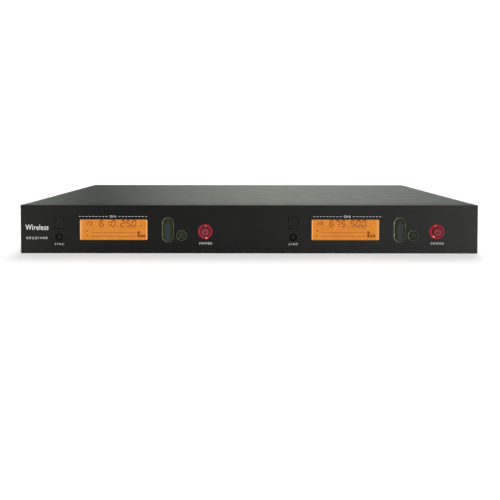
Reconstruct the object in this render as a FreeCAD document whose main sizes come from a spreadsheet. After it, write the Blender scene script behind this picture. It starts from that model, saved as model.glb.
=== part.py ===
import FreeCAD, Part
import math
import os
import re
import Sketcher
from FreeCAD import Placement, Rotation, Vector

# Two-channel wireless microphone receiver in a one-unit, full-width steel case.
# Frame: origin on the resting face under the case's centre, +X to the right seen from
# the front, +Y towards the rear panel, +Z up. All sizes are in millimetres.

SIZES = {
    # case
    "width": 420, "depth": 200, "height": 44.45,
    "panel_thick": 2.5, "panel_wall": 2, "panel_deep": 14, "panel_bevel": 0.6,
    "cover_thick": 1, "cover_bend": 0.8, "flange_wide": 8.5, "flange_slit": 0.3,
    "base_thick": 1.2, "base_rim": 2.7, "base_side": 16, "wall_recess": 1.1,
    "seam": 0.1, "tongue_inset": 2.5, "tongue_deep": 11.3,
    # where the two channels' controls sit; the second channel is one pitch to the right,
    # and its sync key and infrared window a little further
    "channel_pitch": 212.6, "sync_pitch": 214.8,
    "sync_x": -174.5, "sync_z": 14.7, "infrared_z": 28.2,
    "lcd_x": -124.4, "lcd_z": 21.85, "rocker_x": -74.6,
    "select_x": -62.3, "select_z": 16.6, "power_x": -40.3, "power_z": 20.25,
    # openings in the front panel
    "infrared_wide": 9.2, "infrared_high": 11.3, "infrared_gap": 0.4, "pane_sunk": 0.2,
    "pane_lip": 1.2, "pane_lip_thick": 1, "sync_hole": 3.45,
    "lcd_wide": 61.6, "lcd_high": 18.8, "lcd_corner": 1,
    "rocker_wide": 10.8, "rocker_high": 22.6, "select_hole": 4.8, "power_hole": 6.9,
    # keys, their rings and the switches behind them
    "fit_gap": 0.05, "key_gap": 0.3, "ring_wall": 0.8, "power_ring_wall": 1.85,
    "ring_lip": 0.6, "ring_lip_thick": 0.8, "ring_proud": 0.5,
    "sync_sunk": 0.4, "sync_cap": 2.2, "select_proud": 1.2, "power_proud": 1.8,
    "rocker_proud": 1.7, "stem_radius": 1.5, "power_stem_radius": 2, "key_shoulder": 1.2,
    "key_round": 0.85, "key_flange": 0.8, "stem_end": 6.1, "power_stem_end": 5.7,
    "rocker_gap": 0.35, "pivot_depth": 5, "pivot_radius": 0.8, "pivot_running": 0.05,
    "rocker_reach": 8, "rocker_back": 2.9, "rocker_foot": 6.3, "web_half": 2.2,
    "pin_long": 7.8, "bracket_half": 3.8, "bracket_high": 2, "bracket_wall": 1.2,
    "bracket_foot": 0.8, "bracket_reach": 1.5,
    "switch_front": 7.6, "switch_size": 6, "plunger_front": 6.8, "plunger_radius": 1.7,
    # display and control board, as depths behind the front plane
    "lens_edge": 2, "lens_proud": 0.8, "lens_bevel": 0.45, "lens_back": 3.5,
    "glass_front": 3.6, "glass_back": 6.2, "light_front": 6.3, "light_back": 9.8,
    "board_front": 11, "board_thick": 1.6, "board_left": -182, "board_right": -27,
    "board_low": 4.5, "board_high": 40.3, "post_left": -165, "post_right": -50,
    "post_low": 7.5, "post_high": 36.5,
    # rear sockets
    "antenna_a_x": 54.4, "antenna_b_x": 149.8, "antenna_z": 16, "thread_radius": 6.25,
    "barrel_radius": 4.8, "barrel_long": 15, "nut_flats": 14.5, "washer_radius": 9,
    "xlr_a_x": -82.9, "xlr_b_x": -47.7, "xlr_z": 22.7, "xlr_ring": 11, "xlr_bore": 8,
    "xlr_proud": 1.6, "xlr_plate": 13, "xlr_pin_radius": 1.2, "xlr_pin_reach": 4.15,
    "xlr_screw_reach": 10, "jack_x": 6, "jack_z": 22.1, "jack_bore": 3.2,
    "jack_neck": 5.9, "ferrule_radius": 4.8, "inlet_x": -112.2, "inlet_z": 16.2,
    "inlet_half": 4.5, "inlet_low": 10, "inlet_top": 20.6, "inlet_bore": 2.75,
    "inlet_pin": 1, "inlet_proud": 0.4, "inlet_deep": 14, "inlet_bore_deep": 10,
    "xlr_deep": 14, "xlr_flange": 2, "xlr_mouth": 1.4, "xlr_tail": 3, "carrier_thick": 4,
    "keyway_half": 1.8, "keyway_low": 6, "keyway_high": 9.2, "keyway_deep": 10,
    "jack_half": 7.5, "jack_deep": 23, "jack_neck_long": 6.6, "jack_nut_radius": 8,
    "jack_nut_thick": 4, "washer_thick": 0.8, "nut_thick": 2.8, "socket_tail": 9,
    "sticker_thick": 0.15,
    # fastenings
    "screw_radius": 1.5, "small_screw": 1.3, "tapped_gap": 0.05, "passing_gap": 0.2,
    "sunk_head": 2.8, "sunk_high": 1.3, "sunk_edge": 0.15, "side_screw_y": 55, "side_screw_z": 9.5,
    "ear_screw": 1.65, "ear_y": -93, "ear_low": 11, "ear_high": 33,
    "flange_screw_left": -121.5, "flange_screw_right": 111, "flange_screw_z": 40,
    "panel_screw_inner": 60, "panel_screw_outer": 180, "recess_arm": 0.35, "recess_deep": 0.9,
    "pan_head": 2.9, "pan_high": 1.9, "socket_head": 2.3, "board_head": 2.4,
    "small_head_high": 1.5, "screw_long": 6, "board_screw_long": 5,
    # inside
    "floor_board_z": 8, "post_radius": 2.5, "receiver_wide": 170, "receiver_deep": 126,
    "receiver_x": 100, "receiver_y": -15, "audio_x": -50, "audio_y": 74,
    "audio_wide": 180, "audio_deep": 40, "post_inset": 5, "lead_radius": 1.1,
    "can_half_wide": 30, "can_half_deep": 21, "can_high": 13, "can_wall": 0.5, "can_y": 10,
    "capacitor_radius": 5, "capacitor_high": 16, "capacitor_y": 63, "fin_high": 22,
    "ribbon_wide": 24,
}

doc = FreeCAD.newDocument("wireless_receiver")
sheet = doc.addObject("Spreadsheet::Sheet", "Sizes")
for row, (alias, size) in enumerate(SIZES.items(), start=1):
    sheet.set(f"A{row}", alias)
    sheet.set(f"B{row}", str(size))
    sheet.setAlias(f"B{row}", alias)
doc.recompute()

subparts = []

FRONT = "-depth / 2"
WALL = "depth / 2 - wall_recess"
PANEL_BACK = f"{FRONT} + panel_deep"
PLANES = {"front": "XZ_Plane", "top": "XY_Plane", "side": "YZ_Plane"}
TO_REAR = Rotation(Vector(1, 0, 0), -90)
TO_RIGHT = Rotation(Vector(0, 1, 0), 90)
TO_LEFT = Rotation(Vector(0, 1, 0), -90)
DOWNWARD = Rotation(Vector(1, 0, 0), 180)
CHANNELS = {"a": "0", "b": "channel_pitch"}
SYNC_SHIFTS = {"a": "0", "b": "sync_pitch"}


# Binding to the sheet

def bound(text):
    """The expression with the sheet's name before each of its aliases."""
    return re.sub(r"[a-z_]+", lambda word: "Sizes." + word.group()
                  if word.group() in SIZES else word.group(), text)


def number(text):
    """The present value of an expression."""
    return float(sheet.evalExpression(bound(text)))


def place(piece, x="0", y="0", z="0"):
    for axis, text in zip("xyz", (x, y, z)):
        piece.setExpression(f"Placement.Base.{axis}", bound(text))


def keep(piece, label):
    """Names a finished sub-part and marks it for writing."""
    piece.Label = label
    subparts.append(piece)
    return piece


def body(label):
    return keep(doc.addObject("PartDesign::Body", label), label)


def pattern_piece(name):
    """A piece that is not written itself: a group repeats it."""
    return doc.addObject("PartDesign::Body", name)


# Sketches and features

def sketch(owner, name, view, at="0"):
    """A sketch seen from the front (X, Z), top (X, Y) or side (Y, Z)."""
    drawing = owner.newObject("Sketcher::SketchObject", name)
    plane = next(f for f in owner.Origin.OriginFeatures if f.Role == PLANES[view])
    drawing.AttachmentSupport = [(plane, "")]
    drawing.MapMode = "FlatFace"
    offset = f"-({at})" if view == "front" else at
    drawing.setExpression("AttachmentOffset.Base.z", bound(offset))
    return drawing


def fix(drawing, kind, *target, size):
    """Adds one driving dimension whose value is an expression."""
    index = drawing.addConstraint(Sketcher.Constraint(kind, *target, number(size)))
    drawing.setExpression(f"Constraints[{index}]", bound(size))


def fix_point(drawing, geometry, end, x, y):
    fix(drawing, "DistanceX", -1, 1, geometry, end, size=x)
    fix(drawing, "DistanceY", -1, 1, geometry, end, size=y)


def polygon(drawing, points):
    """A closed outline through the given corners."""
    first = drawing.GeometryCount
    corners = [Vector(number(x), number(y), 0) for x, y in points]
    for start, end in zip(corners, corners[1:] + corners[:1]):
        drawing.addGeometry(Part.LineSegment(start, end), False)
    for step, (x, y) in enumerate(points):
        line = first + step
        following = first + (step + 1) % len(points)
        drawing.addConstraint(Sketcher.Constraint("Coincident", line, 2, following, 1))
        fix_point(drawing, line, 1, x, y)
    return drawing


def rectangle(drawing, left, low, right, high):
    return polygon(drawing, [(left, low), (right, low), (right, high), (left, high)])


def circle(drawing, radius, x="0", y="0"):
    index = drawing.addGeometry(
        Part.Circle(Vector(number(x), number(y), 0), Vector(0, 0, 1), number(radius)), False)
    fix_point(drawing, index, 3, x, y)
    fix(drawing, "Radius", index, size=radius)
    return drawing


def stadium(drawing, wide, high, x="0", y="0"):
    """An upright slot: two straight sides closed by two half circles."""
    radius = number(wide) / 2
    reach = f"(({high}) - ({wide})) / 2"
    centres = [Vector(number(x), number(f"{y} + {reach}"), 0),
               Vector(number(x), number(f"{y} - {reach}"), 0)]
    side = Vector(radius, 0, 0)
    top, low = (Part.Circle(centre, Vector(0, 0, 1), radius) for centre in centres)
    upper = drawing.addGeometry(Part.ArcOfCircle(top, 0, math.pi), False)
    left = drawing.addGeometry(Part.LineSegment(centres[0] - side, centres[1] - side), False)
    lower = drawing.addGeometry(Part.ArcOfCircle(low, math.pi, 2 * math.pi), False)
    right = drawing.addGeometry(Part.LineSegment(centres[1] + side, centres[0] + side), False)
    for start, end in ((upper, left), (left, lower), (lower, right), (right, upper)):
        drawing.addConstraint(Sketcher.Constraint("Tangent", start, 2, end, 1))
    fix_point(drawing, upper, 3, x, f"{y} + {reach}")
    fix_point(drawing, lower, 3, x, f"{y} - {reach}")
    fix(drawing, "Radius", upper, size=f"({wide}) / 2")
    fix(drawing, "Radius", lower, size=f"({wide}) / 2")
    return drawing


def faces_front(drawing):
    return drawing.AttachmentSupport[0][0].Role == "XZ_Plane"


def pad(owner, drawing, length, toward=1):
    """Adds material from a sketch towards the plus or minus side of its axis."""
    feature = owner.newObject("PartDesign::Pad", drawing.Name + "_pad")
    feature.Profile = drawing
    feature.setExpression("Length", bound(length))
    feature.Reversed = (toward > 0) == faces_front(drawing)
    return feature


def pocket(owner, drawing, length, toward=1):
    """Cuts from a sketch towards the plus or minus side of its axis."""
    feature = owner.newObject("PartDesign::Pocket", drawing.Name + "_pocket")
    feature.Profile = drawing
    feature.setExpression("Length", bound(length))
    feature.Reversed = (toward > 0) != faces_front(drawing)
    return feature


def revolve(owner, drawing, kind="Revolution"):
    """Turns a sketch, or with Groove cuts it, a full turn about its upright axis."""
    feature = owner.newObject("PartDesign::" + kind, drawing.Name + "_" + kind.lower())
    feature.Profile = drawing
    feature.ReferenceAxis = (drawing, ["V_Axis"])
    feature.Angle = 360
    return feature


def turned(owner, name, outline, view="top"):
    """A turned solid about Y (top view) or Z (front view), from radius and height pairs."""
    return revolve(owner, polygon(sketch(owner, name, view), outline))


def repeat(owner, features, drawing, axis, length, count):
    pattern = owner.newObject("PartDesign::LinearPattern", drawing.Name + "_row")
    pattern.Originals = features
    pattern.Direction = (drawing, [axis])
    pattern.setExpression("Length", bound(length))
    pattern.Occurrences = count
    owner.Tip = pattern
    return pattern


def repeat_round(owner, feature, drawing, count):
    pattern = owner.newObject("PartDesign::PolarPattern", drawing.Name + "_ring")
    pattern.Originals = [feature]
    pattern.Axis = (drawing, ["N_Axis"])
    pattern.Angle = 360
    pattern.Occurrences = count
    owner.Tip = pattern
    return pattern


def edges_where(feature, test):
    """The names of a feature's edges whose bounding box passes a test."""
    doc.recompute()
    return [f"Edge{index}" for index, edge in enumerate(feature.Shape.Edges, start=1)
            if test(edge.BoundBox)]


def soften(owner, feature, kind, size, test):
    """Rounds or bevels the edges of a feature that pass a test."""
    names = edges_where(feature, test)
    result = owner.newObject("PartDesign::" + kind, feature.Name + "_" + kind.lower())
    result.Base = (feature, names)
    result.setExpression("Radius" if kind == "Fillet" else "Size", bound(size))
    return result


def group(label, piece, places):
    """One sub-part of separate solids: a piece repeated at each (x, y, z, turn)."""
    links = []
    for index, (x, y, z, turn) in enumerate(places, start=1):
        link = doc.addObject("App::Link", f"{label}_{index}")
        link.LinkedObject = piece
        link.LinkPlacement = Placement(Vector(), turn)
        for axis, text in zip("xyz", (x, y, z)):
            link.setExpression(f"LinkPlacement.Base.{axis}", bound(text))
        links.append(link)
    compound = doc.addObject("Part::Compound", label)
    compound.Links = links
    return keep(compound, label)


def join(label, pieces):
    """One sub-part of unlike solids."""
    compound = doc.addObject("Part::Compound", label)
    compound.Links = pieces
    return keep(compound, label)


# Places that several pieces share

FLANGE_SCREWS = ["flange_screw_left", "flange_screw_right"]
SIDE_SCREWS = ["-side_screw_y", "side_screw_y"]
PANEL_SCREWS = ["-panel_screw_outer", "-panel_screw_inner", "panel_screw_inner",
                "panel_screw_outer"]
XLR_CENTRES = ["xlr_a_x", "xlr_b_x"]
XLR_SCREWS = [(x, sign) for x in XLR_CENTRES for sign in ("", "-")]
ANTENNA_CENTRES = {"a": "antenna_a_x", "b": "antenna_b_x"}
CONTROL_POSTS = [(x, z) for z in ("post_high", "post_low") for x in ("post_left", "post_right")]
BOARDS = {
    "receiver_board_a": ("-receiver_x", "receiver_y", "receiver_wide", "receiver_deep"),
    "receiver_board_b": ("receiver_x", "receiver_y", "receiver_wide", "receiver_deep"),
    "audio_board": ("audio_x", "audio_y", "audio_wide", "audio_deep"),
}


def board_corners(x, y, wide, deep):
    """Post centres near the four corners of a board that lies over the floor."""
    return [(f"{x} {side} ({wide} / 2 - post_inset)", f"{y} {end} ({deep} / 2 - post_inset)")
            for side in "+-" for end in "+-"]


# Case

def make_front_panel():
    """Folded front panel: a flat face with a return along all four edges."""
    panel = body("front_panel")
    face = rectangle(sketch(panel, "Face", "front", FRONT),
                     "-width / 2", "0", "width / 2", "height")
    pad(panel, face, "panel_deep")
    hollow = rectangle(sketch(panel, "Hollow", "front", PANEL_BACK),
                       "-width / 2 + panel_wall", "panel_wall",
                       "width / 2 - panel_wall", "height - panel_wall")
    pocket(panel, hollow, "panel_deep - panel_thick", toward=-1)
    sync_openings = sketch(panel, "Sync_openings", "front", FRONT)
    rectangle(sync_openings, "sync_x - infrared_wide / 2", "infrared_z - infrared_high / 2",
              "sync_x + infrared_wide / 2", "infrared_z + infrared_high / 2")
    circle(sync_openings, "sync_hole", "sync_x", "sync_z")
    sync_cut = pocket(panel, sync_openings, "panel_thick")
    repeat(panel, [sync_cut], sync_openings, "H_Axis", "sync_pitch", 2)
    openings = sketch(panel, "Openings", "front", FRONT)
    rectangle(openings, "lcd_x - lcd_wide / 2", "lcd_z - lcd_high / 2",
              "lcd_x + lcd_wide / 2", "lcd_z + lcd_high / 2")
    stadium(openings, "rocker_wide", "rocker_high", "rocker_x", "lcd_z")
    circle(openings, "select_hole", "select_x", "select_z")
    circle(openings, "power_hole", "power_x", "power_z")
    cut = pocket(panel, openings, "panel_thick")
    repeat(panel, [cut], openings, "H_Axis", "channel_pitch", 2)
    sides = sketch(panel, "Ear_holes", "side", "width / 2")
    for height in ("ear_low", "ear_high"):
        circle(sides, "ear_screw", "ear_y", height)
    pocket(panel, sides, "width", toward=-1)
    sinks = sketch(panel, "Screw_sink", "front", f"{FRONT} + panel_deep / 2")
    sinks.setExpression("AttachmentOffset.Base.x", bound(PANEL_SCREWS[0]))
    polygon(sinks, [("0", "0"), ("sunk_head + tapped_gap", "0"),
                    ("sunk_head + tapped_gap", "sunk_edge + 2 * tapped_gap"),
                    ("screw_radius + tapped_gap", "sunk_high + 2 * tapped_gap"),
                    ("screw_radius + tapped_gap", "panel_wall"), ("0", "panel_wall")])
    sink = revolve(panel, sinks, "Groove")
    row = repeat(panel, [sink], sinks, "H_Axis", "2 * panel_screw_outer", len(PANEL_SCREWS))
    front_plane = number(FRONT)
    edge = number("width / 2") - 0.01
    top = number("height") - 0.01
    thick = number("panel_thick")
    levels = [number(f"lcd_z {side} lcd_high / 2") for side in "+-"]
    sides = [number(f"lcd_x + {shift} {side} lcd_wide / 2")
             for shift in CHANNELS.values() for side in "+-"]

    def display_corner(box):
        runs_through = abs(box.YLength - thick) < 0.01
        at_level = any(abs(box.ZMin - level) + abs(box.ZMax - level) < 0.01 for level in levels)
        at_side = any(abs(box.XMin - side) + abs(box.XMax - side) < 0.01 for side in sides)
        return runs_through and at_level and at_side

    def outer(box):
        on_face = box.YMax < front_plane + 0.01
        return on_face and (box.XMin > edge or box.XMax < -edge or box.ZMin > top
                            or box.ZMax < 0.01)
    rounded = soften(panel, row, "Fillet", "lcd_corner", display_corner)
    panel.Tip = soften(panel, rounded, "Chamfer", "panel_bevel", outer)


def make_base_chassis():
    """Steel pan: stepped floor, low side walls, rear wall and a tongue behind the panel."""
    base = body("base_chassis")
    inside = "width / 2 - cover_thick - 2 * seam"
    section = sketch(base, "Section", "front", f"{PANEL_BACK} + seam")
    polygon(section, [
        ("-width / 2", "0"), ("width / 2", "0"), ("width / 2", "base_rim"),
        (inside, "base_rim"), (inside, "base_side"),
        (f"{inside} - base_thick", "base_side"), (f"{inside} - base_thick", "base_thick"),
        (f"-({inside} - base_thick)", "base_thick"),
        (f"-({inside} - base_thick)", "base_side"), (f"-({inside})", "base_side"),
        (f"-({inside})", "base_rim"), ("-width / 2", "base_rim")])
    pad(base, section, "depth - panel_deep - seam")
    rim = rectangle(sketch(base, "Rear_rim", "front", "depth / 2"),
                    "-width / 2", "0", "width / 2", "base_rim")
    pad(base, rim, "wall_recess + base_thick", toward=-1)
    clear = rectangle(sketch(base, "Rear_step", "front", "depth / 2"),
                      "-width / 2", "base_rim", "width / 2", "base_side + 1")
    pocket(base, clear, "wall_recess + base_thick", toward=-1)
    wall = rectangle(sketch(base, "Rear_wall", "front", WALL),
                     f"-({inside})", "base_rim - 0.5", inside, "height - cover_thick - seam")
    pad(base, wall, "base_thick", toward=-1)
    riser = rectangle(sketch(base, "Riser", "top", "0"),
                      "-width / 2 + tongue_inset", f"{PANEL_BACK} + seam",
                      "width / 2 - tongue_inset", f"{PANEL_BACK} + seam + base_thick")
    pad(base, riser, "panel_wall + seam + base_thick")
    tongue = rectangle(sketch(base, "Tongue", "top", "panel_wall + seam"),
                       "-width / 2 + tongue_inset", f"{PANEL_BACK} - tongue_deep",
                       "width / 2 - tongue_inset", f"{PANEL_BACK} + base_thick")
    pad(base, tongue, "base_thick")
    holes = sketch(base, "Socket_holes", "front", WALL)
    for centre in ANTENNA_CENTRES.values():
        circle(holes, "thread_radius + passing_gap", centre, "antenna_z")
    for centre in XLR_CENTRES:
        circle(holes, "xlr_ring + passing_gap", centre, "xlr_z")
    for centre, sign in XLR_SCREWS:
        circle(holes, "small_screw + passing_gap", f"{centre} + {sign}xlr_screw_reach",
               f"xlr_z + {sign}xlr_screw_reach")
    circle(holes, "jack_neck + passing_gap", "jack_x", "jack_z")
    rectangle(holes, "inlet_x - inlet_half - passing_gap", "inlet_low - passing_gap",
              "inlet_x + inlet_half + passing_gap", "inlet_top + passing_gap")
    for centre in FLANGE_SCREWS:
        circle(holes, "screw_radius + tapped_gap", centre, "flange_screw_z")
    pocket(base, holes, "base_thick", toward=-1)
    sides = sketch(base, "Side_holes", "side", "width / 2")
    for along in SIDE_SCREWS:
        circle(sides, "screw_radius + 3 * tapped_gap", along, "side_screw_z")
    pocket(base, sides, "width", toward=-1)
    tapped = sketch(base, "Tongue_holes", "top", "panel_wall + seam + base_thick")
    for along in PANEL_SCREWS:
        circle(tapped, "screw_radius + tapped_gap", along, f"{FRONT} + panel_deep / 2")
    pocket(base, tapped, "base_thick", toward=-1)


def make_top_cover():
    """Inverted U of sheet steel with a flange round the rear and a tongue at the front."""
    cover = body("top_cover")
    low = "base_rim + seam"
    section = sketch(cover, "Section", "front", f"{PANEL_BACK} + seam")
    polygon(section, [
        ("-width / 2", low), ("-width / 2", "height"), ("width / 2", "height"),
        ("width / 2", low), ("width / 2 - cover_thick", low),
        ("width / 2 - cover_thick", "height - cover_thick"),
        ("-width / 2 + cover_thick", "height - cover_thick"),
        ("-width / 2 + cover_thick", low)])
    shell = pad(cover, section, "depth - panel_deep - seam")
    edge = number("width / 2") - 0.01
    top = number("height") - 0.01
    soften(cover, shell, "Fillet", "cover_bend", lambda box: box.ZMin > top
           and (box.XMin > edge or box.XMax < -edge))
    doc.recompute()
    flange = sketch(cover, "Flange", "front", "depth / 2")
    polygon(flange, [
        ("-width / 2", low), ("-width / 2", "height - cover_bend"),
        ("-width / 2 + cover_bend", "height"), ("width / 2 - cover_bend", "height"),
        ("width / 2", "height - cover_bend"), ("width / 2", low),
        ("width / 2 - flange_wide", low),
        ("width / 2 - flange_wide", "height - flange_wide"),
        ("-width / 2 + flange_wide", "height - flange_wide"),
        ("-width / 2 + flange_wide", low)])
    pad(cover, flange, "cover_thick", toward=-1)
    slits = sketch(cover, "Mitre_slits", "front", "depth / 2")
    for sign in ("", "-"):
        inner = f"{sign}(width / 2 - flange_wide - 0.1)"
        outer = f"{sign}(width / 2 - cover_thick - cover_bend)"
        level = "height - flange_wide - 0.1"
        rise = "height - cover_thick - cover_bend"
        polygon(slits, [(inner, f"{level} + flange_slit"), (inner, f"{level}"),
                        (outer, rise), (outer, f"{rise} + flange_slit")])
    pocket(cover, slits, "cover_thick", toward=-1)
    riser = rectangle(sketch(cover, "Riser", "top", "height - cover_thick"),
                      "-width / 2 + tongue_inset", f"{PANEL_BACK} + seam",
                      "width / 2 - tongue_inset", f"{PANEL_BACK} + seam + cover_thick")
    pad(cover, riser, "panel_wall + seam", toward=-1)
    tongue = rectangle(sketch(cover, "Tongue", "top", "height - panel_wall - seam"),
                       "-width / 2 + tongue_inset", f"{PANEL_BACK} - tongue_deep",
                       "width / 2 - tongue_inset", f"{PANEL_BACK} + cover_thick")
    pad(cover, tongue, "cover_thick", toward=-1)
    holes = sketch(cover, "Flange_holes", "front", "depth / 2")
    for centre in FLANGE_SCREWS:
        circle(holes, "screw_radius + passing_gap", centre, "flange_screw_z")
    pocket(cover, holes, "cover_thick", toward=-1)
    for name, sign, toward in (("Right_sink", "", -1), ("Left_sink", "-", 1)):
        sinks = sketch(cover, name, "side", f"{sign}width / 2")
        for along in SIDE_SCREWS:
            circle(sinks, "sunk_head + tapped_gap", along, "side_screw_z")
        pocket(cover, sinks, "cover_thick", toward=toward)


# Fastenings

def cross_recess(owner, name, at, reach):
    """A Phillips recess cut down from the top of a screw whose axis is Z."""
    arm = "recess_arm"
    plus = sketch(owner, name, "top", at)
    polygon(plus, [
        (arm, arm), (arm, reach), (f"-{arm}", reach), (f"-{arm}", arm),
        (f"-({reach})", arm), (f"-({reach})", f"-{arm}"), (f"-{arm}", f"-{arm}"),
        (f"-{arm}", f"-({reach})"), (arm, f"-({reach})"), (arm, f"-{arm}"),
        (reach, f"-{arm}"), (reach, arm)])
    pocket(owner, plus, "recess_deep", toward=-1)


def pan_screw(name, shank, head, high, length):
    """A pan-head screw, its head's seat at the origin and its shank down Z."""
    screw = pattern_piece(name)
    turned(screw, name + "_outline", [
        ("0", f"-({length})"), (f"({shank}) - 0.3", f"-({length})"),
        (shank, f"-({length}) + 0.3"), (shank, "0"), (head, "0"),
        (head, f"({high}) * 0.45"), (f"({head}) * 0.75", f"({high}) * 0.9"),
        (f"({head}) * 0.4", high), ("0", high)], view="front")
    cross_recess(screw, name + "_recess", high, f"({head}) * 0.58")
    return screw


def make_fastenings():
    sunk = pattern_piece("Countersunk_screw")
    turned(sunk, "Sunk_outline", [
        ("0", "-screw_long"), ("screw_radius - 0.3", "-screw_long"),
        ("screw_radius", "-screw_long + 0.3"),
        ("screw_radius", "-sunk_high"), ("sunk_head", "-sunk_edge"), ("sunk_head", "0"),
        ("0", "0")], view="front")
    cross_recess(sunk, "Sunk_recess", "0", "sunk_head * 0.55")
    group("front_panel_screws", sunk,
          [(x, f"{FRONT} + panel_deep / 2", "0.02", DOWNWARD) for x in PANEL_SCREWS])
    group("side_cover_screws", sunk,
          [(f"{sign}(width / 2 - 0.02)", y, "side_screw_z", turn)
           for sign, turn in (("", TO_RIGHT), ("-", TO_LEFT)) for y in SIDE_SCREWS])
    cover_screw = pan_screw("Pan_screw", "screw_radius", "pan_head", "pan_high", "screw_long")
    group("rear_cover_screws", cover_screw,
          [(x, "depth / 2", "flange_screw_z", TO_REAR) for x in FLANGE_SCREWS])
    socket_screw = pan_screw("Socket_screw", "small_screw", "socket_head", "small_head_high",
                             "screw_long")
    group("xlr_screws", socket_screw,
          [(f"{x} + {sign}xlr_screw_reach", WALL, f"xlr_z + {sign}xlr_screw_reach", TO_REAR)
           for x, sign in XLR_SCREWS])
    board_screw = pan_screw("Board_screw", "small_screw", "board_head", "small_head_high",
                            "board_screw_long")
    behind = f"{FRONT} + board_front + board_thick"
    over = "floor_board_z + board_thick"
    spots = [(f"{x} + {shift}", behind, z, TO_REAR)
             for shift in CHANNELS.values() for x, z in CONTROL_POSTS]
    spots += [(x, y, over, Rotation()) for board in BOARDS.values()
              for x, y in board_corners(*board)]
    group("board_screws", board_screw, spots)


def post(name, length):
    """A round spacer with a tapped hole, standing on the origin."""
    spacer = pattern_piece(name)
    turned(spacer, name + "_outline", [
        ("small_screw + tapped_gap", "0"), ("post_radius", "0"), ("post_radius", length),
        ("small_screw + tapped_gap", length)], view="front")
    return spacer


def make_standoffs():
    long_post = post("Panel_post", "board_front - panel_thick")
    short_post = post("Floor_post", "floor_board_z - base_thick")
    links = []
    spots = [(long_post, f"{x} + {shift}", f"{FRONT} + panel_thick", z, TO_REAR)
             for shift in CHANNELS.values() for x, z in CONTROL_POSTS]
    spots += [(short_post, x, y, "base_thick", Rotation()) for board in BOARDS.values()
              for x, y in board_corners(*board)]
    for index, (piece, x, y, z, turn) in enumerate(spots, start=1):
        link = doc.addObject("App::Link", f"Standoff_{index}")
        link.LinkedObject = piece
        link.LinkPlacement = Placement(Vector(), turn)
        for axis, text in zip("xyz", (x, y, z)):
            link.setExpression(f"LinkPlacement.Base.{axis}", bound(text))
        links.append(link)
    join("board_standoffs", links)


# Controls of one channel. Each is drawn about its own centre, with y counted from the
# front plane, and placed at its centre on the panel.

def make_infrared_window(letter, shift):
    window = body(f"ir_window_{letter}")
    half_wide = "(infrared_wide / 2 - infrared_gap)"
    half_high = "(infrared_high / 2 - infrared_gap)"
    pane = rectangle(sketch(window, f"Pane_{letter}", "front", "pane_sunk"),
                     f"-{half_wide}", f"-{half_high}", half_wide, half_high)
    pad(window, pane, "panel_thick - pane_sunk")
    lip = rectangle(sketch(window, f"Pane_lip_{letter}", "front", "panel_thick"),
                    f"-{half_wide} - pane_lip", f"-{half_high} - pane_lip",
                    f"{half_wide} + pane_lip", f"{half_high} + pane_lip")
    pad(window, lip, "pane_lip_thick")
    place(window, f"sync_x + {shift}", FRONT, "infrared_z")


def make_sync_button(letter, shift):
    button = body(f"sync_button_{letter}")
    turned(button, f"Sync_{letter}", [
        ("0", "sync_sunk + 0.15"), ("sync_cap - 1", "sync_sunk"),
        ("sync_cap - 0.35", "sync_sunk"), ("sync_cap", "sync_sunk + 0.35"),
        ("sync_cap", "panel_thick + key_gap"), ("sync_hole + 0.8", "panel_thick + key_gap"),
        ("sync_hole + 0.8", "panel_thick + key_gap + key_flange"),
        ("stem_radius", "panel_thick + key_gap + key_flange"), ("stem_radius", "stem_end"),
        ("0", "stem_end")])
    place(button, f"sync_x + {shift}", FRONT, "sync_z")


def make_display(letter, shift):
    """The clear lens, which stands proud of the panel, the liquid crystal cell and its light
    box, stacked from front to back."""
    def layer(label, front, back, edge):
        slab = body(f"{label}_{letter}")
        half_wide = f"(lcd_wide / 2 + {edge})"
        half_high = f"(lcd_high / 2 + {edge})"
        outline = rectangle(sketch(slab, f"{label}_outline_{letter}", "front", front),
                            f"-{half_wide}", f"-{half_high}", half_wide, half_high)
        pad(slab, outline, f"{back} - {front}")
        place(slab, f"lcd_x + {shift}", FRONT, "lcd_z")
        return slab
    lens = layer("lcd_window", "panel_thick", "lens_back", "lens_edge")
    side = "(lcd_wide / 2 - fit_gap)"
    level = "(lcd_high / 2 - fit_gap)"
    boss = rectangle(sketch(lens, f"Lens_boss_{letter}", "front", "-lens_proud"),
                     f"-{side}", f"-{level}", side, level)
    raised = pad(lens, boss, "lens_proud + panel_thick")
    depth = number("lens_proud + panel_thick")
    rounded = soften(lens, raised, "Fillet", "lcd_corner - fit_gap",
                     lambda box: abs(box.YLength - depth) < 0.01)
    face = number("-lens_proud") + 0.01
    lens.Tip = soften(lens, rounded, "Chamfer", "lens_bevel", lambda box: box.YMax < face)
    layer("lcd_glass", "glass_front", "glass_back", "lens_edge - 0.5")
    layer("lcd_backlight", "light_front", "light_back", "lens_edge")


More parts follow.
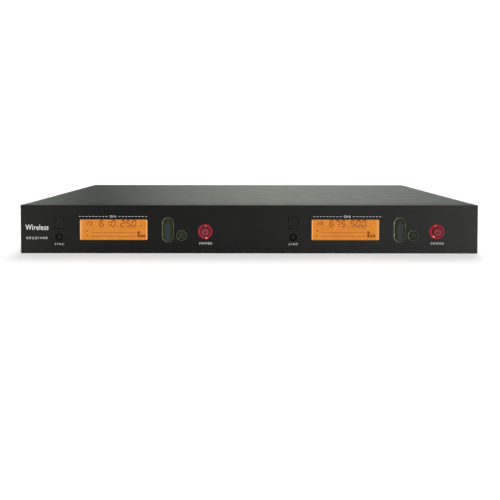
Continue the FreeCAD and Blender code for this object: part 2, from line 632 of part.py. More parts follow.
def make_key_rings(letter, shift):
    """Translucent rings that line the rocker's slot and the select key's hole."""
    slot = doc.addObject("PartDesign::Body", f"Rocker_ring_{letter}")
    bore_wide = "rocker_wide - 2 * ring_wall"
    bore_high = "rocker_high - 2 * ring_wall"
    wall = sketch(slot, f"Slot_wall_{letter}", "front", "-ring_proud")
    stadium(wall, "rocker_wide - 2 * fit_gap", "rocker_high - 2 * fit_gap")
    tube = pad(slot, wall, "ring_proud + panel_thick")
    face = number("-ring_proud") + 0.01
    soften(slot, tube, "Fillet", "0.35", lambda box: box.YMax < face)
    doc.recompute()
    lip = sketch(slot, f"Slot_lip_{letter}", "front", "panel_thick")
    stadium(lip, "rocker_wide + 2 * ring_lip", "rocker_high + 2 * ring_lip")
    pad(slot, lip, "ring_lip_thick")
    bore = sketch(slot, f"Slot_bore_{letter}", "front", "-ring_proud")
    stadium(bore, bore_wide, bore_high)
    pocket(slot, bore, "ring_proud + panel_thick + ring_lip_thick")
    place(slot, f"rocker_x + {shift}", FRONT, "lcd_z")
    round_ring = doc.addObject("PartDesign::Body", f"Select_ring_{letter}")
    bore_radius = "select_hole - ring_wall"
    outer = "select_hole - fit_gap"
    turned(round_ring, f"Select_ring_outline_{letter}", [
        (bore_radius, "-ring_proud + 0.15"), (f"{bore_radius} + 0.15", "-ring_proud"),
        (f"{outer} - 0.3", "-ring_proud"), (outer, "-ring_proud + 0.3"),
        (outer, "panel_thick"), ("select_hole + ring_lip", "panel_thick"),
        ("select_hole + ring_lip", "panel_thick + ring_lip_thick"),
        (bore_radius, "panel_thick + ring_lip_thick")])
    place(round_ring, f"select_x + {shift}", FRONT, "select_z")
    join(f"key_light_rings_{letter}", [slot, round_ring])


def make_rocker_key(letter, shift):
    """Up and down key that tips on a pin; two feet reach for the switches."""
    key = body(f"rocker_key_{letter}")
    wide = "rocker_wide - 2 * ring_wall - 2 * rocker_gap"
    high = "rocker_high - 2 * ring_wall - 2 * rocker_gap"
    cap = stadium(sketch(key, f"Cap_{letter}", "front", "-rocker_proud"), wide, high)
    block = pad(key, cap, "rocker_proud + rocker_back")
    face = number("-rocker_proud") + 0.01
    soften(key, block, "Fillet", "key_round", lambda box: box.YMax < face)
    doc.recompute()
    web = rectangle(sketch(key, f"Web_{letter}", "front", "rocker_back"),
                    "-web_half", "-web_half", "web_half", "web_half")
    pad(key, web, "rocker_foot - rocker_back")
    feet = sketch(key, f"Feet_{letter}", "front", "rocker_back")
    for sign in ("", "-"):
        circle(feet, "stem_radius", "0", f"{sign}rocker_reach")
    pad(key, feet, "rocker_foot - rocker_back")
    eye = circle(sketch(key, f"Eye_{letter}", "side", "3"),
                 "pivot_radius + pivot_running", "pivot_depth", "0")
    pocket(key, eye, "6", toward=-1)
    place(key, f"rocker_x + {shift}", FRONT, "lcd_z")


def make_rocker_mounts():
    """The pins that the rocker keys tip on and the brackets that hold them."""
    pin = pattern_piece("Pivot_pin")
    shaft = circle(sketch(pin, "Pin_section", "side", "-pin_long / 2"), "pivot_radius")
    pad(pin, shaft, "pin_long")
    group("rocker_pivot_pins", pin,
          [(f"rocker_x + {shift}", f"{FRONT} + pivot_depth", "lcd_z", Rotation())
           for shift in CHANNELS.values()])
    bracket = pattern_piece("Pivot_bracket")
    foot = rectangle(sketch(bracket, "Bracket_foot", "front", "board_front - bracket_foot"),
                     "-bracket_half", "-bracket_high", "bracket_half", "bracket_high")
    pad(bracket, foot, "bracket_foot")
    ears = sketch(bracket, "Bracket_ears", "front", "pivot_depth - bracket_reach")
    rectangle(ears, "-bracket_half", "-bracket_high", "-bracket_half + bracket_wall",
              "bracket_high")
    rectangle(ears, "bracket_half - bracket_wall", "-bracket_high", "bracket_half",
              "bracket_high")
    pad(bracket, ears, "board_front - pivot_depth + bracket_reach")
    eye = circle(sketch(bracket, "Bracket_eye", "side", "5"),
                 "pivot_radius + 0.02", "pivot_depth", "0")
    pocket(bracket, eye, "10", toward=-1)
    group("rocker_brackets", bracket,
          [(f"rocker_x + {shift}", FRONT, "lcd_z", Rotation())
           for shift in CHANNELS.values()])


def make_select_button(letter, shift):
    button = body(f"set_button_{letter}")
    radius = "select_hole - ring_wall - key_gap"
    seat = "panel_thick + ring_lip_thick + key_gap"
    turned(button, f"Select_{letter}", [
        ("0", "-select_proud"), (f"{radius} - 0.8", "-select_proud"),
        (f"{radius} - 0.25", "-select_proud + 0.2"), (radius, "-select_proud + 0.75"),
        (radius, seat), ("select_hole", seat), ("select_hole", f"{seat} + key_flange"),
        ("stem_radius", f"{seat} + key_flange"), ("stem_radius", "stem_end"),
        ("0", "stem_end")])
    place(button, f"select_x + {shift}", FRONT, "select_z")


def make_power_ring(letter, shift):
    ring = body(f"power_light_ring_{letter}")
    bore = "power_hole - power_ring_wall"
    outer = "power_hole - fit_gap"
    turned(ring, f"Power_ring_{letter}", [
        (bore, "-ring_proud + 0.4"), (f"{bore} + 0.4", "-ring_proud"),
        (f"{outer} - 0.5", "-ring_proud - 0.1"), (outer, "-ring_proud + 0.4"),
        (outer, "panel_thick"), ("power_hole + key_shoulder", "panel_thick"),
        ("power_hole + key_shoulder", "panel_thick + ring_lip_thick"),
        (bore, "panel_thick + ring_lip_thick")])
    place(ring, f"power_x + {shift}", FRONT, "power_z")


def make_power_button(letter, shift):
    button = body(f"power_button_{letter}")
    radius = "power_hole - power_ring_wall - key_gap"
    seat = "panel_thick + ring_lip_thick + key_gap"
    turned(button, f"Power_{letter}", [
        ("0", "-power_proud + 0.3"), (f"{radius} - 1.3", "-power_proud + 0.1"),
        (f"{radius} - 0.7", "-power_proud"), (f"{radius} - 0.2", "-power_proud + 0.2"),
        (radius, "-power_proud + 0.7"), (radius, seat), (f"{radius} + key_shoulder", seat),
        (f"{radius} + key_shoulder", f"{seat} + key_flange"),
        ("power_stem_radius", f"{seat} + key_flange"),
        ("power_stem_radius", "power_stem_end"), ("0", "power_stem_end")])
    place(button, f"power_x + {shift}", FRONT, "power_z")


def make_switches():
    """Ten push switches: two under each rocker and one under each other key."""
    switch = pattern_piece("Push_switch")
    half = "switch_size / 2"
    case = rectangle(sketch(switch, "Switch_case", "front", "switch_front"),
                     f"-{half}", f"-{half}", half, half)
    pad(switch, case, "board_front - switch_front")
    plunger = circle(sketch(switch, "Plunger", "front", "plunger_front"), "plunger_radius")
    pad(switch, plunger, "switch_front - plunger_front")
    centres = [("select_x", "select_z"), ("power_x", "power_z"),
               ("rocker_x", "lcd_z + rocker_reach"), ("rocker_x", "lcd_z - rocker_reach")]
    spots = [(f"{x} + {shift}", FRONT, z, Rotation())
             for shift in CHANNELS.values() for x, z in centres]
    spots += [(f"sync_x + {shift}", FRONT, "sync_z", Rotation())
              for shift in SYNC_SHIFTS.values()]
    group("tact_switches", switch, spots)


def make_infrared_diodes():
    diode = pattern_piece("Infrared_diode")
    turned(diode, "Diode_outline", [
        ("0", "4.6"), ("1.2", "4.8"), ("2.1", "5.6"), ("2.5", "6.8"), ("2.5", "10"),
        ("2.9", "10"), ("2.9", "board_front"), ("0", "board_front")])
    group("ir_transceivers", diode,
          [(f"sync_x + {shift}", FRONT, "infrared_z", Rotation())
           for shift in SYNC_SHIFTS.values()])


def make_control_board(letter, shift):
    board = body(f"control_board_{letter}")
    plate = sketch(board, f"Control_outline_{letter}", "front", f"{FRONT} + board_front")
    rectangle(plate, "board_left", "board_low", "board_right", "board_high")
    for x, z in CONTROL_POSTS:
        circle(plate, "small_screw + passing_gap", x, z)
    pad(board, plate, "board_thick")
    place(board, shift)


# Rear sockets. Each is drawn about its own axis, with y counted from the rear wall's
# outer face, and placed at its centre on the wall.

def make_antenna_sockets():
    """Bayonet aerial sockets with nut, toothed washer, insulator and centre contact."""
    back = "-(base_thick + 2.2)"
    for letter, centre in ANTENNA_CENTRES.items():
        socket = body(f"antenna_socket_{letter}")
        turned(socket, f"Socket_outline_{letter}", [
            ("0", "-socket_tail"), ("4.5", "-socket_tail"), ("4.5", back), ("8", back),
            ("8", "-base_thick"),
            ("thread_radius", "-base_thick"), ("thread_radius", "4.5"),
            ("barrel_radius + 0.5", "5"), ("barrel_radius", "5.4"),
            ("barrel_radius", "barrel_long - 0.3"), ("barrel_radius - 0.3", "barrel_long"),
            ("0", "barrel_long")])
        lugs = circle(sketch(socket, f"Lugs_{letter}", "side", "0"), "1",
                      "barrel_long - 4", "0")
        studs = pad(socket, lugs, "2 * barrel_radius + 1.6")
        studs.Midplane = True
        bores = polygon(sketch(socket, f"Socket_bore_{letter}", "top"), [
            ("0", "-socket_tail"), ("3.2", "-socket_tail"), ("3.2", "5"), ("4.1", "5"),
            ("4.1", "barrel_long"), ("0", "barrel_long")])
        revolve(socket, bores, "Groove")
        place(socket, centre, WALL, "antenna_z")
    spots = [(centre, WALL, "antenna_z", Rotation()) for centre in ANTENNA_CENTRES.values()]
    insulator = pattern_piece("Insulator")
    turned(insulator, "Insulator_outline", [
        ("1.1", "-8.8"), ("3.15", "-8.8"), ("3.15", "5"), ("2.4", "5.4"), ("2.4", "10.4"),
        ("1.1", "10.4")])
    group("antenna_socket_insulators", insulator, spots)
    contact = pattern_piece("Centre_contact")
    turned(contact, "Contact_outline", [
        ("0", "-12"), ("0.5", "-12"), ("0.5", "-9"), ("1.05", "-9"), ("1.05", "11.2"),
        ("0.55", "11.2"), ("0.55", "7"), ("0", "7")])
    group("antenna_center_contacts", contact, spots)
    washer = pattern_piece("Toothed_washer")
    ring = sketch(washer, "Washer_ring", "front", "0")
    circle(ring, "washer_radius")
    circle(ring, "thread_radius + 0.1")
    pad(washer, ring, "washer_thick")
    notch = circle(sketch(washer, "Washer_notch", "front", "0"), "0.5",
                   "washer_radius - 1", "0")
    cut = pocket(washer, notch, "washer_thick")
    repeat_round(washer, cut, notch, 18)
    group("antenna_lock_washers", washer, spots)
    nut = pattern_piece("Hexagon_nut")
    hexagon = sketch(nut, "Nut_hexagon", "front", "washer_thick")
    corner = "nut_flats / 2 / cos(30 deg)"
    polygon(hexagon, [(f"{corner} * cos({turn} deg)", f"{corner} * sin({turn} deg)")
                      for turn in range(0, 360, 60)])
    circle(hexagon, "thread_radius + 0.02")
    pad(nut, hexagon, "nut_thick")
    group("antenna_socket_nuts", nut, spots)


def make_xlr_sockets():
    """Male three-pin output sockets screwed to the wall from outside."""
    back = "-(base_thick + xlr_deep)"
    plate_back = "-(base_thick + xlr_flange)"
    for letter, centre in zip("ab", XLR_CENTRES):
        socket = body(f"xlr_socket_{letter}")
        plate = rectangle(sketch(socket, f"Plate_{letter}", "front", "-base_thick"),
                          "-xlr_plate", "-xlr_plate", "xlr_plate", "xlr_plate")
        pad(socket, plate, "xlr_flange", toward=-1)
        turned(socket, f"Shell_{letter}", [
            ("0", back), ("10", back), ("10", plate_back), ("xlr_ring", plate_back),
            ("xlr_ring", "xlr_proud - 0.5"), ("xlr_ring - 0.5", "xlr_proud"),
            ("0", "xlr_proud")])
        bore = circle(sketch(socket, f"Bore_{letter}", "front", "xlr_proud"), "xlr_bore")
        pocket(socket, bore, "xlr_proud + base_thick + xlr_deep", toward=-1)
        mouth = polygon(sketch(socket, f"Mouth_{letter}", "top"), [
            ("xlr_bore - 0.2", "xlr_proud - xlr_mouth"), ("xlr_bore", "xlr_proud - xlr_mouth"),
            ("xlr_ring - 1.1", "xlr_proud"), ("xlr_bore - 0.2", "xlr_proud")])
        revolve(socket, mouth, "Groove")
        keyway = rectangle(sketch(socket, f"Keyway_{letter}", "front", "xlr_proud"),
                           "-keyway_half", "keyway_low", "keyway_half", "keyway_high")
        pocket(socket, keyway, "keyway_deep", toward=-1)
        screws = sketch(socket, f"Screw_holes_{letter}", "front", "-base_thick")
        for sign in ("", "-"):
            circle(screws, "small_screw + tapped_gap", f"{sign}xlr_screw_reach",
                   f"{sign}xlr_screw_reach")
        pocket(socket, screws, "xlr_flange", toward=-1)
        place(socket, centre, WALL, "xlr_z")
    spots = [(centre, WALL, "xlr_z", Rotation()) for centre in XLR_CENTRES]
    insert = pattern_piece("Pin_carrier")
    disc = sketch(insert, "Carrier_disc", "front", back)
    circle(disc, "xlr_bore - fit_gap")
    pins = [("xlr_pin_reach", "0"), ("-xlr_pin_reach", "0"), ("0", "-xlr_pin_reach")]
    for x, z in pins:
        circle(disc, "xlr_pin_radius + 0.02", x, z)
    pad(insert, disc, "carrier_thick")
    group("xlr_inserts", insert, spots)
    pin = pattern_piece("Contact_pin")
    tip = "xlr_proud - xlr_mouth"
    tail = "-(base_thick + xlr_deep + xlr_tail)"
    turned(pin, "Pin_outline", [
        ("0", tail), ("0.6", tail), ("0.6", back),
        ("xlr_pin_radius", back), ("xlr_pin_radius", f"{tip} - 0.9"),
        ("xlr_pin_radius - 0.35", f"{tip} - 0.25"), ("xlr_pin_radius - 0.8", tip),
        ("0", tip)])
    group("xlr_pins", pin,
          [(f"{centre} + {x}", WALL, f"xlr_z + {z}", Rotation())
           for centre in XLR_CENTRES for x, z in pins])


def make_mix_jack():
    """Quarter-inch output jack: body, metal ferrule, ring nut and two contact springs."""
    case = body("mix_jack_body")
    block = rectangle(sketch(case, "Jack_block", "front", "-base_thick"),
                      "-jack_half", "-jack_half", "jack_half", "jack_half")
    pad(case, block, "jack_deep", toward=-1)
    neck = circle(sketch(case, "Jack_neck", "front", "-base_thick"), "jack_neck")
    pad(case, neck, "base_thick + jack_neck_long")
    bore = polygon(sketch(case, "Jack_bore", "top"), [
        ("0", "-22.5"), ("3.4", "-22.5"), ("3.4", "-5"), ("ferrule_radius + 0.05", "-5"),
        ("ferrule_radius + 0.05", "jack_neck_long"), ("0", "jack_neck_long")])
    revolve(case, bore, "Groove")
    slots = rectangle(sketch(case, "Spring_slots", "front", "-8"), "-1.4", "-5.6", "1.4", "5.6")
    pocket(case, slots, "13", toward=-1)
    place(case, "jack_x", WALL, "jack_z")
    ferrule = body("mix_jack_ferrule")
    turned(ferrule, "Ferrule_outline", [
        ("jack_bore", "-4.9"), ("ferrule_radius", "-4.9"), ("ferrule_radius", "7.6"),
        ("ferrule_radius - 0.4", "8"), ("jack_bore + 0.4", "8"), ("jack_bore", "7.6")])
    place(ferrule, "jack_x", WALL, "jack_z")
    nut = body("mix_jack_nut")
    turned(nut, "Jack_nut_outline", [
        ("jack_neck + 0.02", "0"), ("jack_nut_radius", "0"),
        ("jack_nut_radius", "jack_nut_thick - 1"), ("jack_nut_radius - 0.8", "jack_nut_thick"),
        ("jack_neck + 0.02", "jack_nut_thick")])
    grip = sketch(nut, "Nut_grip", "front", "0")
    circle(grip, "0.8", "jack_nut_radius + 0.3", "0")
    cut = pocket(nut, grip, "jack_nut_thick", toward=1)
    cut.Reversed = True
    repeat_round(nut, cut, grip, 12)
    place(nut, "jack_x", WALL, "jack_z")
    springs = pattern_piece("Contact_spring")
    leaf = sketch(springs, "Spring_leaf", "side", "-1")
    polygon(leaf, [("-20.5", "4.6"), ("-20.5", "5.1"), ("-12", "5.1"), ("-10", "4.1"),
                   ("-8.6", "4.9"), ("-8.6", "4.3"), ("-10", "3.5"), ("-12.3", "4.6")])
    pad(springs, leaf, "2")
    group("mix_jack_contacts", springs,
          [("jack_x", WALL, "jack_z", Rotation()),
           ("jack_x", WALL, "jack_z", Rotation(Vector(0, 1, 0), 180))])


def make_power_inlet():
    """Coaxial low-voltage inlet and its centre pin."""
    inlet = body("dc_jack_body")
    block = rectangle(sketch(inlet, "Inlet_block", "front", "inlet_proud"),
                      "-inlet_half", "inlet_low - inlet_z", "inlet_half",
                      "inlet_top - inlet_z")
    pad(inlet, block, "inlet_deep", toward=-1)
    bore = circle(sketch(inlet, "Inlet_bore", "front", "inlet_proud"), "inlet_bore")
    pocket(inlet, bore, "inlet_bore_deep", toward=-1)
    seat = circle(sketch(inlet, "Inlet_seat", "front", "-9"), "inlet_pin - 0.18")
    pocket(inlet, seat, "4.6", toward=-1)
    place(inlet, "inlet_x", WALL, "inlet_z")
    pin = body("dc_jack_pin")
    turned(pin, "Inlet_pin", [
        ("0", "-13.6"), ("inlet_pin - 0.2", "-13.6"), ("inlet_pin - 0.2", "-9.6"),
        ("inlet_pin", "-9.6"), ("inlet_pin", "-0.9"), ("inlet_pin - 0.4", "-0.4"),
        ("0", "-0.4")])
    place(pin, "inlet_x", WALL, "inlet_z")


def make_rear_labels():
    """Two paper stickers on the rear wall."""
    labels = []
    for name, x, z, wide, high in (("Number_sticker", "-182.7", "7", "28.5", "8.1"),
                                   ("Bar_sticker", "92.3", "9.8", "25", "6.5")):
        sticker = doc.addObject("PartDesign::Body", name)
        outline = rectangle(sketch(sticker, name + "_outline", "front", "0.02"),
                            f"-{wide} / 2", f"-{high} / 2", f"{wide} / 2", f"{high} / 2")
        pad(sticker, outline, "sticker_thick")
        place(sticker, x, WALL, z)
        labels.append(sticker)
    join("rear_labels", labels)


# Inside

def make_floor_boards():
    for label, (x, y, wide, deep) in BOARDS.items():
        board = body(label)
        plate = sketch(board, label + "_outline", "top", "floor_board_z")
        rectangle(plate, f"{x} - {wide} / 2", f"{y} - {deep} / 2",
                  f"{x} + {wide} / 2", f"{y} + {deep} / 2")
        for centre_x, centre_y in board_corners(x, y, wide, deep):
            circle(plate, "small_screw + passing_gap", centre_x, centre_y)
        pad(board, plate, "board_thick")


def make_board_parts():
    """Shield cans, heat sink and filter capacitors that stand on the boards."""
    over = "floor_board_z + board_thick + seam"
    can = pattern_piece("Shield_can")
    shell = rectangle(sketch(can, "Can_outline", "top", "0"),
                      "-can_half_wide", "-can_half_deep", "can_half_wide", "can_half_deep")
    pad(can, shell, "can_high")
    room = rectangle(sketch(can, "Can_room", "top", "0"),
                     "-can_half_wide + can_wall", "-can_half_deep + can_wall",
                     "can_half_wide - can_wall", "can_half_deep - can_wall")
    pocket(can, room, "can_high - can_wall", toward=1)
    group("rf_shield_cans", can,
          [(f"{sign}receiver_x", "can_y", over, Rotation()) for sign in ("-", "")])
    sink = body("heat_sink")
    comb = sketch(sink, "Fin_section", "top", "0")
    polygon(comb, [("0", "0"), ("14", "0"), ("14", "1.5"), ("3", "1.5"), ("3", "6"),
                   ("14", "6"), ("14", "7.5"), ("3", "7.5"), ("3", "12"), ("14", "12"),
                   ("14", "13.5"), ("3", "13.5"), ("3", "18"), ("14", "18"),
                   ("14", "19.5"), ("0", "19.5")])
    pad(sink, comb, "fin_high")
    place(sink, "-131", "60", over)
    capacitor = pattern_piece("Filter_capacitor")
    turned(capacitor, "Capacitor_outline", [
        ("0", "0"), ("capacitor_radius", "0"), ("capacitor_radius", "capacitor_high - 0.5"),
        ("capacitor_radius - 0.5", "capacitor_high"), ("0", "capacitor_high")], view="front")
    group("filter_capacitors", capacitor,
          [(x, "capacitor_y", over, Rotation()) for x in ("-100", "-86", "-72", "24")])


def make_ribbon_cables():
    """Flat cables from each control board down to its receiver board."""
    ribbon = pattern_piece("Ribbon")
    level = "floor_board_z + board_thick + seam"
    start = f"{FRONT} + board_front + board_thick + seam"
    run = sketch(ribbon, "Ribbon_side", "side", "-ribbon_wide / 2")
    polygon(run, [
        (start, "22"), (f"{start} + 5", "22"), (f"{start} + 9", "18"),
        (f"{start} + 11", f"{level} + 0.7"), (f"{start} + 22", f"{level} + 0.7"),
        (f"{start} + 22", level), (f"{start} + 10.4", level),
        (f"{start} + 8.4", "17.7"), (f"{start} + 4.7", "21.3"), (start, "21.3")])
    pad(ribbon, run, "ribbon_wide")
    group("ribbon_cables", ribbon,
          [("-receiver_x", "0", "0", Rotation()), ("receiver_x", "0", "0", Rotation())])


def tube(points, radius):
    """A round lead along straight runs joined by tangent arcs."""
    nodes = [Vector(*point) for point in points]
    start = nodes[0]
    edges = []
    for before, middle, after in zip(nodes, nodes[1:], nodes[2:]):
        back = before - middle
        ahead = after - middle
        trim = 0.45 * min(back.Length, ahead.Length)
        inward = back.normalize()
        outward = ahead.normalize()
        turn = math.pi - inward.getAngle(outward)
        bend = trim / math.tan(turn / 2)
        first = middle + inward * trim
        last = middle + outward * trim
        crown = middle + (inward + outward).normalize() * bend * (1 / math.cos(turn / 2) - 1)
        edges.append(Part.LineSegment(start, first).toShape())
        edges.append(Part.Arc(first, crown, last).toShape())
        start = last
    edges.append(Part.LineSegment(start, nodes[-1]).toShape())
    path = Part.Wire(edges)
    heading = (nodes[1] - nodes[0]).normalize()
    section = Part.Wire(Part.makeCircle(radius, nodes[0], heading))
    return path.makePipeShell([section], True, False)


def make_antenna_leads():
    """Coaxial leads from the aerial sockets to the shield cans."""
    leads = []
    rear = number(WALL) - 12.2
    level = number("antenna_z")
    front = number("receiver_y + receiver_deep / 2") - 12
    lane = number("receiver_y + receiver_deep / 2") + 3
    ends = {"Lead_a": ("antenna_a_x", "-receiver_x + 20"),
            "Lead_b": ("antenna_b_x", "receiver_x + 20")}
    for name, (socket_x, can_x) in ends.items():
        lead = doc.addObject("Part::Feature", name)
        points = [(number(socket_x), rear, level), (number(socket_x), lane, level),
                  (number(can_x), lane, level), (number(can_x), front, level)]
        lead.Shape = tube(points, number("lead_radius"))
        leads.append(lead)
    join("antenna_leads", leads)


make_front_panel()
make_base_chassis()
make_top_cover()
make_fastenings()
make_standoffs()
for letter, shift in CHANNELS.items():
    make_infrared_window(letter, SYNC_SHIFTS[letter])
    make_sync_button(letter, SYNC_SHIFTS[letter])
    make_display(letter, shift)
    make_key_rings(letter, shift)
    make_rocker_key(letter, shift)
    make_select_button(letter, shift)
    make_power_ring(letter, shift)
    make_power_button(letter, shift)
    make_control_board(letter, shift)
make_rocker_mounts()
make_switches()
make_infrared_diodes()
make_antenna_sockets()
make_xlr_sockets()
make_mix_jack()
make_power_inlet()
make_rear_labels()
make_floor_boards()
make_board_parts()
make_ribbon_cables()
make_antenna_leads()
doc.recompute()

# Checks, then one STEP file for each sub-part

for item in doc.Objects:
    if {"Invalid", "Error"} & set(item.State):
        raise RuntimeError(f"{item.Name} did not build: {item.State}")
    if item.TypeId in ("PartDesign::Pocket", "PartDesign::Groove"):
        if item.Shape.Volume >= item.BaseFeature.Shape.Volume:
            raise RuntimeError(f"{item.Name} removes nothing")
os.makedirs("parts", exist_ok=True)
for piece in subparts:
    shape = piece.Shape
    if shape.isNull() or not shape.isValid():
        raise RuntimeError(f"{piece.Label} has no valid shape")
for piece in subparts:
    piece.Shape.exportStep(f"parts/{piece.Label}.step")
print(len(subparts), "sub-parts written")
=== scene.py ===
import math

import bmesh
import bpy
from mathutils import Matrix, Vector


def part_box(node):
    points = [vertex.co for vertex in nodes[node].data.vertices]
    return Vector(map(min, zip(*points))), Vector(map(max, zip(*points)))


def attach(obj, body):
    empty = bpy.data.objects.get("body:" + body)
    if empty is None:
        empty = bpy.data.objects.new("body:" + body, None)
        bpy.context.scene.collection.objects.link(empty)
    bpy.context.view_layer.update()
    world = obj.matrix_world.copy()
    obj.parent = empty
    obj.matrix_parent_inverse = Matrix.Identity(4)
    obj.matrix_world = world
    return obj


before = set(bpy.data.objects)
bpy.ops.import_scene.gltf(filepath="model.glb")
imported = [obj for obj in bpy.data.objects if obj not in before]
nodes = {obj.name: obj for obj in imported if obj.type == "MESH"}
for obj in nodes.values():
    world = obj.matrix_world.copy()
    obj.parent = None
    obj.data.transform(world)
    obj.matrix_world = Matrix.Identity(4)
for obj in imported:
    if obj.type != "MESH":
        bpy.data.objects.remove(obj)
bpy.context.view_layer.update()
scene = bpy.context.scene

MM = 0.001
CHANNELS = "ab"
# Light from behind and from the camera's side, by direction: -1 is left and 1 is right.
BEHIND = ((-0.62, 0.5), (-0.44, 1.1), (-0.32, 0.04), (-0.17, 0.72), (0.05, 1.15), (0.24, 0.94),
          (0.5, 0.45))
AHEAD = ((-0.6, 0.3), (-0.42, 0.2), (-0.22, 0.0), (0.0, 0.1), (0.22, 0.3), (0.48, 0.6))
# Cards on the camera's side, below the level of the top: the angle of each to the right
# of straight ahead, its width in degrees, and its power.
CARDS = (("left_card", -50, 22, 40.0), ("middle_card", 20, 36, 34.0), ("right_card", 54, 20, 57.0))
# Painted highlight spots on each channel's rings and their brightness: right of and up from the
# ring's centre, in millimetres.
POWER_HIGHLIGHTS = {"a": ((0.5, 5.2, 0.9), (1.1, -6.1, 1.5)), "b": ((-1.5, 5.0, 1.0), (-3.1, -4.5, 1.6))}
ROCKER_HIGHLIGHTS = {
    "a": ((-4.9, 6.2, 0.24), (-4.8, -4.4, 0.22), (4.6, 4.8, 0.12), (4.3, -7.6, 0.05)),
    "b": ((-4.8, 6.0, 0.32), (-4.8, -4.4, 0.38), (4.9, 4.0, 0.16), (-4.9, 0.8, 0.12)),
}
SET_HIGHLIGHTS = {
    "a": ((-3.3, -3.3, 0.16), (-0.6, 4.5, 0.07), (-4.0, 2.4, 0.05)),
    "b": ((-4.1, 2.0, 0.16), (-4.2, -2.0, 0.20), (-2.2, 4.1, 0.08)),
}
# Blocks of small print on the rear: the left end and height of the first line, the pitch
# of the lines, the height of the letters, a seed and the width of each line.
SMALL_PRINT = (
    (-191.0, 28.4, 4.6, 2.0, 2, (20.5, 14.0, 19.0, 14.0)),
    (-128.5, 29.4, 5.1, 2.2, 5, (43.0, 18.5, 30.0, 18.0)),
    (127.8, 26.3, 3.9, 1.9, 9, (22.5, 26.5, 17.5, 21.0, 10.0, 25.5)),
    (134.2, 31.0, 0.0, 1.9, 4, (11.0,)),
)
# The lit segments of each figure: a is the top one, then clockwise to f, and g the middle.
DIGITS = {
    "0": "abcdef", "1": "bc", "2": "abged", "3": "abgcd", "4": "fgbc", "5": "afgcd",
    "6": "afgedc", "7": "abc", "8": "abcdefg", "9": "abcdfg", " ": "",
}


def middle(node):
    """The middle of a node's box."""
    low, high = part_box(node)
    return (low + high) / 2


# Material building blocks. Every pattern is read from the object's own coordinates, in
# metres, so its scale is real.

class Nodes:
    """Shorthand for wiring a node tree; place is the coordinate its patterns are read from."""

    def __init__(self, owner, coordinate):
        owner.use_nodes = True
        self.tree = owner.node_tree
        self.place = self.add("ShaderNodeTexCoord").outputs[coordinate]

    def add(self, kind, **settings):
        node = self.tree.nodes.new(kind)
        for key, value in settings.items():
            setattr(node, key, value)
        return node

    def link(self, source, target):
        self.tree.links.new(source, target)

    def feed(self, node, *values):
        """Fills a node's inputs in order with sockets or plain values."""
        for socket, value in zip(node.inputs, values):
            if isinstance(value, bpy.types.NodeSocket):
                self.link(value, socket)
            else:
                socket.default_value = value
        return node

    def calc(self, operation, *values):
        """One step of arithmetic."""
        return self.feed(self.add("ShaderNodeMath", operation=operation), *values).outputs[0]

    def noise(self, size, detail, stretch=(1, 1, 1)):
        """Noise whose features are about size metres across."""
        mapping = self.add("ShaderNodeMapping")
        self.link(self.place, mapping.inputs["Vector"])
        mapping.inputs["Scale"].default_value = [1 / (size * axis) for axis in stretch]
        texture = self.add("ShaderNodeTexNoise")
        self.link(mapping.outputs["Vector"], texture.inputs["Vector"])
        texture.inputs["Scale"].default_value = 1
        texture.inputs["Detail"].default_value = detail
        texture.inputs["Roughness"].default_value = 0.55
        return texture.outputs["Fac"]

    def spread(self, value, low, high, start=0.0, end=1.0):
        """Maps low..high of a value to start..end, clamped."""
        node = self.add("ShaderNodeMapRange", clamp=True)
        self.feed(node, value, low, high, start, end)
        return node.outputs["Result"]

    def mix(self, factor, first, second):
        """A colour between two colours or sockets."""
        node = self.add("ShaderNodeMix", data_type="RGBA")
        sockets = [s for s in node.inputs if s.type == "RGBA"]
        self.link(factor, node.inputs["Factor"])
        for socket, value in zip(sockets, (first, second)):
            if isinstance(value, bpy.types.NodeSocket):
                self.link(value, socket)
            else:
                socket.default_value = (*value, 1)
        return next(s for s in node.outputs if s.type == "RGBA")

    def ramp(self, factor, stops, tint=(1, 1, 1)):
        """A tinted level from a list of (position from -1 to 1, level) stops."""
        node = self.add("ShaderNodeValToRGB")
        self.link(factor, node.inputs["Fac"])
        elements = node.color_ramp.elements
        while len(elements) < len(stops):
            elements.new(1.0)
        for element, (position, level) in zip(elements, stops):
            element.position = (position + 1) / 2
            element.color = (*(level * part for part in tint), 1)
        return node.outputs["Color"]

    def axis(self, letter):
        """The place along one axis."""
        split = self.add("ShaderNodeSeparateXYZ")
        self.link(self.place, split.inputs[0])
        return split.outputs[letter]

    def distance(self, point):
        """How far the place is from a point."""
        node = self.add("ShaderNodeVectorMath", operation="DISTANCE")
        self.link(self.place, node.inputs[0])
        node.inputs[1].default_value = point
        return node.outputs["Value"]

    def from_stroke(self, x, z, half_length=0.0):
        """How far a point lies, seen from the front, from an upright stroke about (x, z)."""
        across = self.calc("SUBTRACT", self.axis("X"), x)
        along = self.calc("ABSOLUTE", self.calc("SUBTRACT", self.axis("Z"), z))
        past = self.calc("MAXIMUM", self.calc("SUBTRACT", along, half_length), 0.0)
        return self.calc("SQRT", self.calc("ADD", self.calc("MULTIPLY", across, across),
                                         self.calc("MULTIPLY", past, past)))

    def near(self, coordinate, value, reach):
        """1 where a coordinate is within reach of a value, fading to 0."""
        gap = self.calc("ABSOLUTE", self.calc("SUBTRACT", coordinate, value))
        return self.spread(gap, reach, 0.0)


